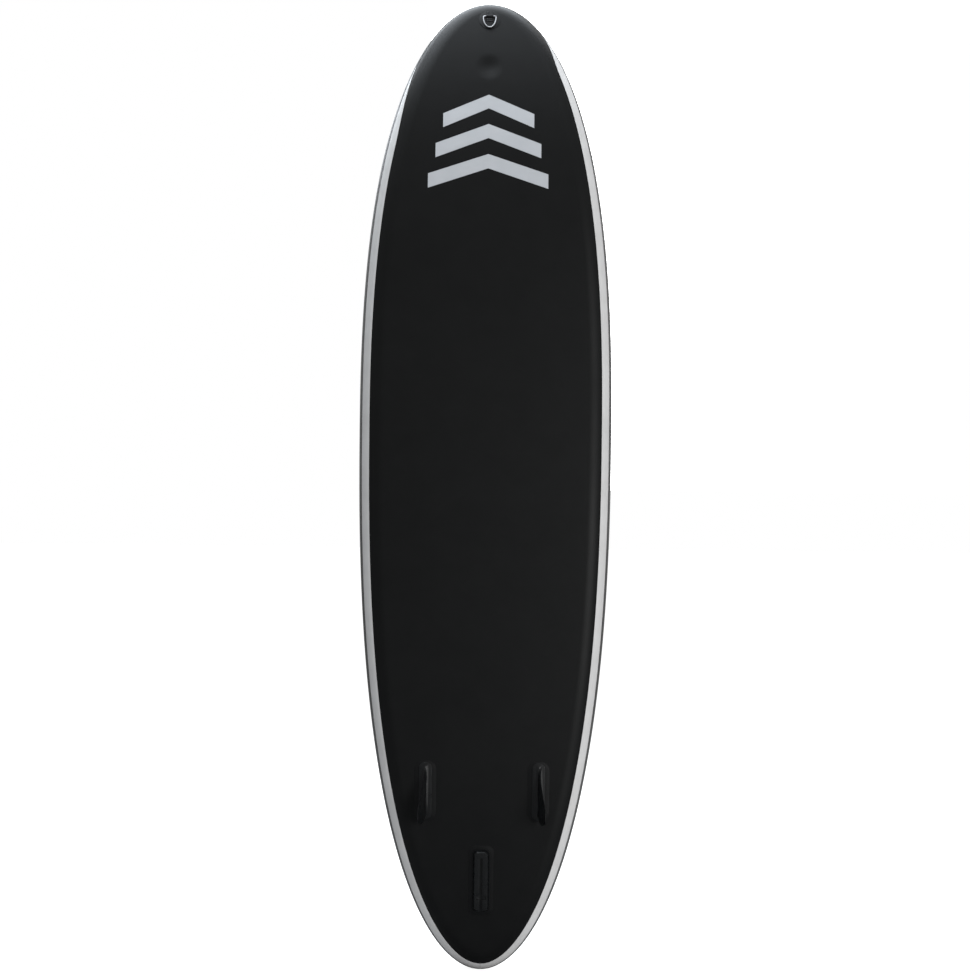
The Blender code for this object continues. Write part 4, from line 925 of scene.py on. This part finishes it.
def make_side_fin(suffix, sign):
    middle = SIDE_FIN_FRONT - SIDE_FIN_CHORD / 2
    across = sign * SIDE_FIN_ACROSS
    outline = rounded_rectangle(*FIN_PATCH, FIN_PATCH[0] * 0.42, 14, (across, middle))
    make_patch(f"side_fin_base_{suffix}", outline, HULL, f"side_fin_patch_{suffix}")
    foot_width, foot_length, foot_height = FIN_FOOT
    fillet_width, fillet_height = FIN_FILLET
    root = ON_PATCH + foot_height
    sunk = 1.5 * MM
    shares = [k / 20 for k in range(19)] + [0.94, 0.96, 0.98, 0.99, 1.0]
    foil = [0.5 - 0.5 * math.cos(math.pi * k / 14) for k in range(1, 14)]
    loops = []
    for share in shares:
        lead, chord, thickness = fin_section(share)
        height = ON_PATCH + sunk + share * (SIDE_FIN_HEIGHT - sunk)
        flare = fillet_width
        if height > root - 2 * MM:
            flare *= max(0, 1 - (height - root) / fillet_height) ** 3
        lean = sign * height * math.tan(SIDE_FIN_CANT)
        start = SIDE_FIN_CHORD / 2 + lead
        halves = [(thickness / 2 + flare) * math.sqrt(max(0, 1 - (2 * f - 1) ** 2)) for f in foil]
        right = [(h, start - f * chord) for f, h in zip(foil, halves)]
        left = [(-x, y) for x, y in reversed(right)]
        ring = [(0, start), *right, (0, start - chord), *left]
        loops.append([(across + x + lean, middle + y, height) for x, y in ring])
    fin = lofted(f"side_fin_blade_{suffix}", loops)
    foot = rounded_rectangle(foot_width, foot_length, foot_width * 0.45, 12, (across, middle))
    base = extruded("foot", foot, ON_PATCH, root)
    bevel(base, 1.4 * MM, segments=4, angle=40)
    boolean(fin, base, "UNION")
    lay(fin, HULL, 38, "black_plastic", FIN_PLASTIC, f"side_fin_{suffix}")


# Deck pads


def pad_outline(start, end, front_corner, rear_corner):
    """Outline of a pad whose sides follow the board's edge at a margin, with rounded corners."""
    corner_steps, side_steps = 10, 24
    turns = [math.pi / 2 * k / corner_steps for k in range(corner_steps + 1)]
    low, high = start + rear_corner, end - front_corner
    stops = [low - rear_corner * math.cos(t) for t in turns]
    stops += [low + (high - low) * k / side_steps for k in range(1, side_steps)]
    stops += [high + front_corner * math.sin(t) for t in turns]
    right = []
    for s in stops:
        half = outline_half_width(s) - PAD_MARGIN
        for corner, gap in ((rear_corner, s - start), (front_corner, end - s)):
            if gap < corner:
                half -= corner - math.sqrt(max(0, corner**2 - (corner - gap) ** 2))
        right.append((half, s))
    return right + [(-x, s) for x, s in reversed(right)]


def groove_cutters(name, lines):
    """One cutter of V grooves along flat lines, sharing the pad's top level."""
    low, high = GAP + PAD_THICKNESS - GROOVE_DEPTH, GAP + PAD_THICKNESS + GROOVE_DEPTH
    wide, narrow = 2, 0.35
    grooves = []
    for start, end in lines:
        a, b = Vector(start), Vector(end)
        along = (b - a).normalized()
        aside = Vector((-along.y, along.x)) * GROOVE_WIDTH / 2
        ends = []
        for p, tip in ((a, -along), (b, along)):
            over = p + tip * GROOVE_DEPTH
            corners = ((over, wide, high), (over, -wide, high), (p, -narrow, low), (p, narrow, low))
            ends.append([(*(q + aside * share), z) for q, share, z in corners])
        grooves.append(ends)
    return lofted(name, *grooves)


def make_pad(where, pad_shape, lines, slot, material, well=None):
    pad = extruded(f"{where}_traction_pad", pad_outline(*pad_shape), GAP, GAP + PAD_THICKNESS)
    if well:
        boolean(pad, extruded("well", well, -1 * MM, PAD_THICKNESS * 2))
    bevel(pad, 1.2 * MM, segments=3, angle=60)
    boolean(pad, groove_cutters("grooves", lines))
    lay(pad, DECK, 30, slot, material, f"deck_pad_{where}", step=25 * MM)


def plank_lines(pad_shape, skip=None):
    """Lines along a pad at even spacing, left out where they would leave the pad or cross its well."""
    start, end, *_ = pad_shape
    count = 60
    length = end - start - 2 * PLANK_INSET
    stops = [start + PLANK_INSET + length * j / count for j in range(count + 1)]
    reach = int(outline_half_width((start + end) / 2) / PLANK_SPACING)
    lines = []
    for k in range(-reach, reach + 1):
        x = k * PLANK_SPACING
        inside = [s for s in stops if outline_half_width(s) - PAD_MARGIN - PLANK_SIDE_INSET > abs(x)]
        if not inside or inside[-1] - inside[0] < PLANK_SHORTEST:
            continue
        first, last = (x, inside[0]), (x, inside[-1])
        if skip and abs(x) < skip[0]:
            lines += [(first, (x, skip[1])), ((x, skip[2]), last)]
        else:
            lines.append((first, last))
    return lines


def cross_lines(pad_shape):
    """Lines across a pad, in chevrons of shallow slope on each side of the middle."""
    start, end, *_ = pad_shape
    lines = []
    for k in range(int((end - start - 2 * RIB_INSET) / RIB_SPACING) + 1):
        s = start + RIB_INSET + k * RIB_SPACING
        half = outline_half_width(s) - PAD_MARGIN - RIB_SIDE_INSET
        for sign in (-1, 1):
            lines.append(((sign * RIB_FROM_MIDDLE, s), (sign * half, s + half * RIB_SLOPE)))
    return lines


def make_deck_pads():
    make_pad("front", FRONT_PAD, plank_lines(FRONT_PAD), "eva_foam", EVA)
    well = rounded_rectangle(*HANDLE_WELL, 10, (0, HANDLE_ALONG))
    half, reach = PLANK_OPENING
    lines = plank_lines(MIDDLE_PAD, (half, HANDLE_ALONG - reach, HANDLE_ALONG + reach))
    make_pad("middle", MIDDLE_PAD, lines, "eva_foam", EVA, well)
    make_pad("rear", REAR_PAD, cross_lines(REAR_PAD), "eva_foam_light", EVA_LIGHT)
    make_kick_pad()


def make_kick_pad():
    """The raised foam bar at the tail, rounded on top and ramped towards the rider."""
    start, end = KICK_PAD
    length = end - start
    middle = (start + end) / 2
    rise, lip = KICK_RISE, KICK_LIP
    ramp = (-length * 0.14, length * 0.36, lip, rise - lip, 0, 12)
    back = (-length * 0.30, length * 0.17, rise * 0.68, rise * 0.32, 1, 8)
    section = [(length / 2, GAP), (length / 2, lip)]
    for centre, reach, low, height, quarter, steps in (ramp, back):
        for k in range(steps + 1):
            t = math.pi / 2 * (quarter + k / steps)
            section.append((centre + reach * math.cos(t), low + height * math.sin(t)))
    section += [(-length / 2, KICK_BACK_LIP), (-length / 2, GAP)]
    straight = outline_half_width(middle) - KICK_MARGIN - KICK_ROUNDING
    overs = [math.sin(math.pi / 2 * k / 8) for k in range(9)]
    right = [(straight + KICK_ROUNDING * over, over) for over in overs]
    loops = []
    for x, over in [(-x, over) for x, over in reversed(right)] + right:
        shrink = math.sqrt(1 - 0.95 * over**2)
        narrow = 0.82 + 0.18 * shrink
        loops.append([(x, middle + y * narrow, GAP + (z - GAP) * shrink) for y, z in section])
    pad = lofted("tail_kick_bar", loops)
    bevel(pad, 1.5 * MM, segments=3, angle=50)
    lay(pad, DECK, 35, "eva_foam_light", EVA_LIGHT, "kick_pad")


# Carry handle


def handle_path():
    """Middle line of the webbing, as (along from the handle's middle, height over the skin)."""
    steps = 14
    low = ON_PATCH + WEB_THICKNESS / 2
    foot = -HANDLE_HALF_LENGTH + HANDLE_FOOT
    ramp = HANDLE_HALF_LENGTH - HANDLE_FOOT - HANDLE_HALF_TOP
    points = [(-HANDLE_HALF_LENGTH, low), (foot, low)]
    for k in range(1, steps):
        share = k / steps
        points.append((foot + ramp * share, low + HANDLE_RISE * (1 - math.cos(math.pi * share)) / 2))
    points.append((-HANDLE_HALF_TOP, low + HANDLE_RISE))
    return points + [(-y, z) for y, z in reversed(points)]


def make_handle():
    path = handle_path()
    columns = 8
    across = [WEB_WIDTH * (k / columns - 0.5) for k in range(columns + 1)]
    bm = bmesh.new()
    add_grid(bm, [[(x, HANDLE_ALONG + y, z + WEB_THICKNESS / 2) for x in across] for y, z in path])
    strap = to_object("handle_webbing", bm)
    if strap.data.polygons[0].normal.z < 0:
        strap.data.flip_normals()
    solidify(strap, WEB_THICKNESS)
    bevel(strap, 0.7 * MM, segments=3, angle=60)
    lay(strap, DECK, 40, "webbing", WEBBING, "handle_strap")
    make_grip(path[len(path) // 2][1])
    x = WEB_WIDTH / 2 - HANDLE_STITCH_MARGIN
    lines = []
    for suffix, end in (("front", 1), ("rear", -1)):
        near, far = [HANDLE_ALONG + end * reach for reach in HANDLE_STITCHES]
        corners = [(-x, near), (x, near), (x, far), (-x, far)]
        lines += list(zip(corners, corners[1:] + corners[:1]))
        lines += [((-x, near), (x, far)), ((x, near), (-x, far))]
        centre = (0, HANDLE_ALONG + end * HANDLE_PATCH_AT)
        outline = rounded_rectangle(*HANDLE_PATCH, 10, centre)
        make_patch(f"handle_patch_{suffix}", outline, DECK, f"handle_anchor_{suffix}")
    stitches("handle_stitches", lines, DECK, SKIN_LEVEL + ON_PATCH + WEB_THICKNESS)


def make_grip(height):
    """The padded sleeve round the webbing, with rounded rims at both ends."""
    steps, squareness = 48, 0.8
    half = GRIP_HALF_LENGTH
    rims = [(0, 0.55), (0.6 * MM, 0.25), (1.6 * MM, 0.08), (3 * MM, 0)]
    stops = [(-half + inset, pinch) for inset, pinch in rims]
    stops += [(half - inset, pinch) for inset, pinch in reversed(rims)]
    loops = []
    for y, pinch in stops:
        wall = GRIP_WALL * (1 - pinch * 0.3)
        ring = []
        for k in range(steps):
            t = 2 * math.pi * k / steps
            c, s = math.cos(t), math.sin(t)
            x = (WEB_WIDTH / 2 + wall) * math.copysign(abs(c) ** squareness, c)
            z = (WEB_THICKNESS / 2 + wall) * math.copysign(abs(s) ** squareness, s)
            ring.append((x, HANDLE_ALONG + y, height + z))
        loops.append(ring)
    grip = lofted("handle_sleeve", loops)
    room = rounded_rectangle(WEB_WIDTH + 2 * GAP, 4 * half, 0.1 * MM, 2, (0, HANDLE_ALONG))
    low, high = height - WEB_THICKNESS / 2 - GAP, height + WEB_THICKNESS / 2 + GAP
    boolean(grip, extruded("room", room, low, high))
    lay(grip, DECK, 40, "neoprene", NEOPRENE, "handle_grip")
    x = WEB_WIDTH / 2 + 1 * MM
    lines = [((-x, HANDLE_ALONG + y), (x, HANDLE_ALONG + y)) for y in (GRIP_SEAM, -GRIP_SEAM)]
    stitches("sleeve_stitches", lines, DECK, SKIN_LEVEL + height + WEB_THICKNESS / 2 + GRIP_WALL)


# Valve


def valve_frame():
    """Axes at the valve: x across, y towards the nose, z out of the deck, from its joint."""
    joint = joint_of("valve_lid")
    out = Vector(joint["axis"]).normalized()
    across = Vector((-1, 0, 0))
    result = Matrix((across, out.cross(across), out)).transposed().to_4x4()
    result.translation = Vector(joint["pos_m"])
    return result


def turned(name, profile, steps):
    """A turned solid about z; the profile of (radius, height) runs down its outer side."""
    bm = bmesh.new()
    verts = [bm.verts.new((r, 0, z)) for r, z in profile]
    for a, b in zip(verts, verts[1:]):
        bm.edges.new((a, b))
    if profile[0][0] > 0:
        bm.edges.new((verts[-1], verts[0]))
    obj = to_object(name, bm)
    merge = {"use_merge_vertices": True, "merge_threshold": MERGE_DISTANCE}
    modify(obj, "SCREW", steps=steps, render_steps=steps, **merge)
    return obj


def make_valve():
    """The flange and the cap that show on the deck, and the spring under the button."""
    at = valve_frame()
    top = GAP + FLANGE_HEIGHT
    profile = [
        (FLANGE_BORE, top - 0.5 * MM),
        (FLANGE_BORE + 0.5 * MM, top),
        (FLANGE_RADIUS - 1.8 * MM, top),
        (FLANGE_RADIUS - 0.7 * MM, top - 0.5 * MM),
        (FLANGE_RADIUS, top - 1.5 * MM),
        (FLANGE_RADIUS, GAP),
        (SOCKET_RADIUS, GAP),
        (SOCKET_RADIUS, -SOCKET_DEPTH),
        (FLANGE_BORE, -SOCKET_DEPTH),
    ]
    rim = turned("valve_flange", profile, 64)
    for k in range(FLANGE_DENTS):
        turn = 2 * math.pi / FLANGE_DENTS * k
        centre = (DENT_FROM_AXIS * math.cos(turn), DENT_FROM_AXIS * math.sin(turn))
        outline = circle_outline(DENT_RADIUS, 20, centre)
        boolean(rim, extruded("dent", outline, top - DENT_DEPTH, top + 2 * MM))
    bevel(rim, 0.25 * MM, segments=2, angle=40)
    rim.data.transform(at)
    smooth(rim, 35)
    finish_piece(rim, "black_plastic", BLACK_PLASTIC, "valve_body")
    make_valve_cap(at, top)
    make_valve_spring(at)


def make_valve_cap(at, flange_top):
    """The quarter-turn cap with its grip bar; its plug has the groove for the gasket."""
    low = flange_top + GAP
    top = low + CAP_HEIGHT
    plug = FLANGE_BORE - 3 * GAP
    foot = flange_top - CAP_PLUG_DEPTH
    groove = plug - GASKET_SIZE + GAP
    groove_high = flange_top - GASKET_DEPTH
    groove_low = groove_high - GASKET_SIZE - 2 * GAP
    bore = plug - CAP_PLUG_WALL - GASKET_SIZE
    profile = [(0, top), (CAP_RADIUS * 0.7, top - 0.3 * MM)]
    for k in range(7):
        t = math.pi / 2 * k / 6
        x, z = CAP_EDGE * math.sin(t), CAP_EDGE * (1 - math.cos(t))
        profile.append((CAP_RADIUS - CAP_EDGE + x, top - CAP_EDGE - z))
    profile += [(CAP_RADIUS, low), (plug, low), (plug, groove_high), (groove, groove_high)]
    profile += [(groove, groove_low), (plug, groove_low), (plug, foot), (bore, foot), (bore, low), (0, low)]
    cap = turned("valve_twist_cap", profile, 96)
    length, width, height = CAP_GRIP
    outline = rounded_rectangle(length, width, width / 2.2, 7)
    grip = extruded("grip", outline, low + CAP_HEIGHT / 2, top + height)
    bevel(grip, 1.2 * MM, segments=4, angle=60)
    boolean(cap, grip, "UNION")
    cap.data.transform(at)
    smooth(cap, 35)
    finish_piece(cap, "black_plastic", BLACK_PLASTIC, "valve_cap", body="valve_lid")


def make_valve_spring(at):
    """The coil between the socket's shoulder and the button, as long as the imported spring."""
    axis, origin = at.col[2].xyz, at.translation
    heights = [(v.co - origin).dot(axis) for v in frame["nodes"]["valve_spring"].data.vertices]
    foot, head = min(heights), max(heights)
    rise = head - foot - SPRING_WIRE
    steps_per_turn = 20
    count = int(SPRING_TURNS * steps_per_turn)
    points = []
    for k in range(count + 1):
        turn = 2 * math.pi * SPRING_TURNS * k / count
        height = foot + SPRING_WIRE / 2 + rise * k / count
        points.append((SPRING_RADIUS * math.cos(turn), SPRING_RADIUS * math.sin(turn), height))
    coil = make_wire("valve_coil", points, SPRING_WIRE, roundness=3, closed=False)
    coil.data.transform(at)
    finish_piece(coil, "steel", STEEL, "valve_spring")
    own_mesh(coil)


# Generic marks on the hull


def make_chevrons():
    """Three plain printed chevrons near the nose, pointing forwards."""
    for number in range(3):
        s = CHEVRON_FIRST + number * CHEVRON_PITCH
        half = CHEVRON_HALF_WIDTH * (1 - CHEVRON_SHRINK * number)
        low = s - CHEVRON_RISE
        high = low + CHEVRON_BAND
        outline = [(half, low), (half, high), (0, s + CHEVRON_BAND), (-half, high), (-half, low), (0, s)]
        mark = extruded(f"hull_mark_{number + 1}", outline, *CHEVRON_HEIGHTS)
        lay(mark, HULL, 30, "light_grey_pvc", PRINT_GREY, step=10 * MM)


# Studio and camera


def make_lights():
    for name, location, target, size, power, colour, seen in LIGHTS:
        light = bpy.data.lights.new(name, "AREA")
        light.color = colour
        light.shape = "RECTANGLE"
        light.size, light.size_y = size
        light.energy = power
        obj = add_object(name, light)
        obj.location = location
        obj.rotation_euler = (Vector(target) - Vector(location)).to_track_quat("-Z", "Y").to_euler()
        obj.visible_camera = seen


def make_world():
    """White to the camera, to mirrors and to glass, and a plain soft level for everything else."""
    world = bpy.data.worlds.new("studio")
    bpy.context.scene.world = world
    world.use_nodes = True
    tree = world.node_tree
    path = tree.nodes.new("ShaderNodeLightPath")
    seen = path.outputs["Is Camera Ray"]
    for ray in ("Is Glossy Ray", "Is Transmission Ray"):
        seen = add_node(tree, "Math", "Value", {0: seen, 1: path.outputs[ray]}, operation="MAXIMUM")
    level = add_node(tree, "MapRange", "Result", {"Value": seen, "To Min": AMBIENT, "To Max": 1.0})
    fill_sockets(tree, tree.nodes["Background"], {"Color": (1, 1, 1, 1), "Strength": level})


def make_floor():
    """A pale floor that the camera sees as white, with the board's soft shadow."""
    bm = bmesh.new()
    bmesh.ops.create_grid(bm, x_segments=1, y_segments=1, size=FLOOR_REACH)
    floor = to_object("floor", bm)
    recipe = Recipe("floor_white", FLOOR_GREY, 0.9, specular=0.1)
    recipe.bump(recipe.noise(20.0), 0.1 * MM, 0.1)
    path = recipe.tree.nodes.new("ShaderNodeLightPath")
    recipe.set_shader("Emission Color", (1, 1, 1, 1))
    seen = {0: path.outputs["Is Camera Ray"], 1: FLOOR_GLOW}
    glow = add_node(recipe.tree, "Math", "Value", seen, operation="MULTIPLY")
    recipe.set_shader("Emission Strength", glow)
    floor.data.materials.append(recipe.material)


def make_camera():
    data = bpy.data.cameras.new("camera")
    data.sensor_width = SENSOR
    data.lens = LENS_PIXELS / IMAGE_WIDTH * SENSOR
    camera = add_object("camera", data)
    flat = place(0, WIDEST_POINT, 0).y
    camera.location = (0, flat - CAMERA_DISTANCE, CAMERA_HEIGHT)
    camera.rotation_euler = Matrix.Rotation(math.pi / 2, 3, "X").to_euler()
    camera.rotation_euler.rotate_axis("Z", CAMERA_ROLL)
    bpy.context.scene.camera = camera


bpy.context.scene.view_settings.view_transform = "Standard"
make_camera()
make_world()
make_lights()
make_floor()
dress_nodes()
make_body()
make_ring_sets()
make_fin_box()
make_side_fin("port", 1)
make_side_fin("starboard", -1)
make_deck_pads()
make_handle()
make_valve()
make_chevrons()
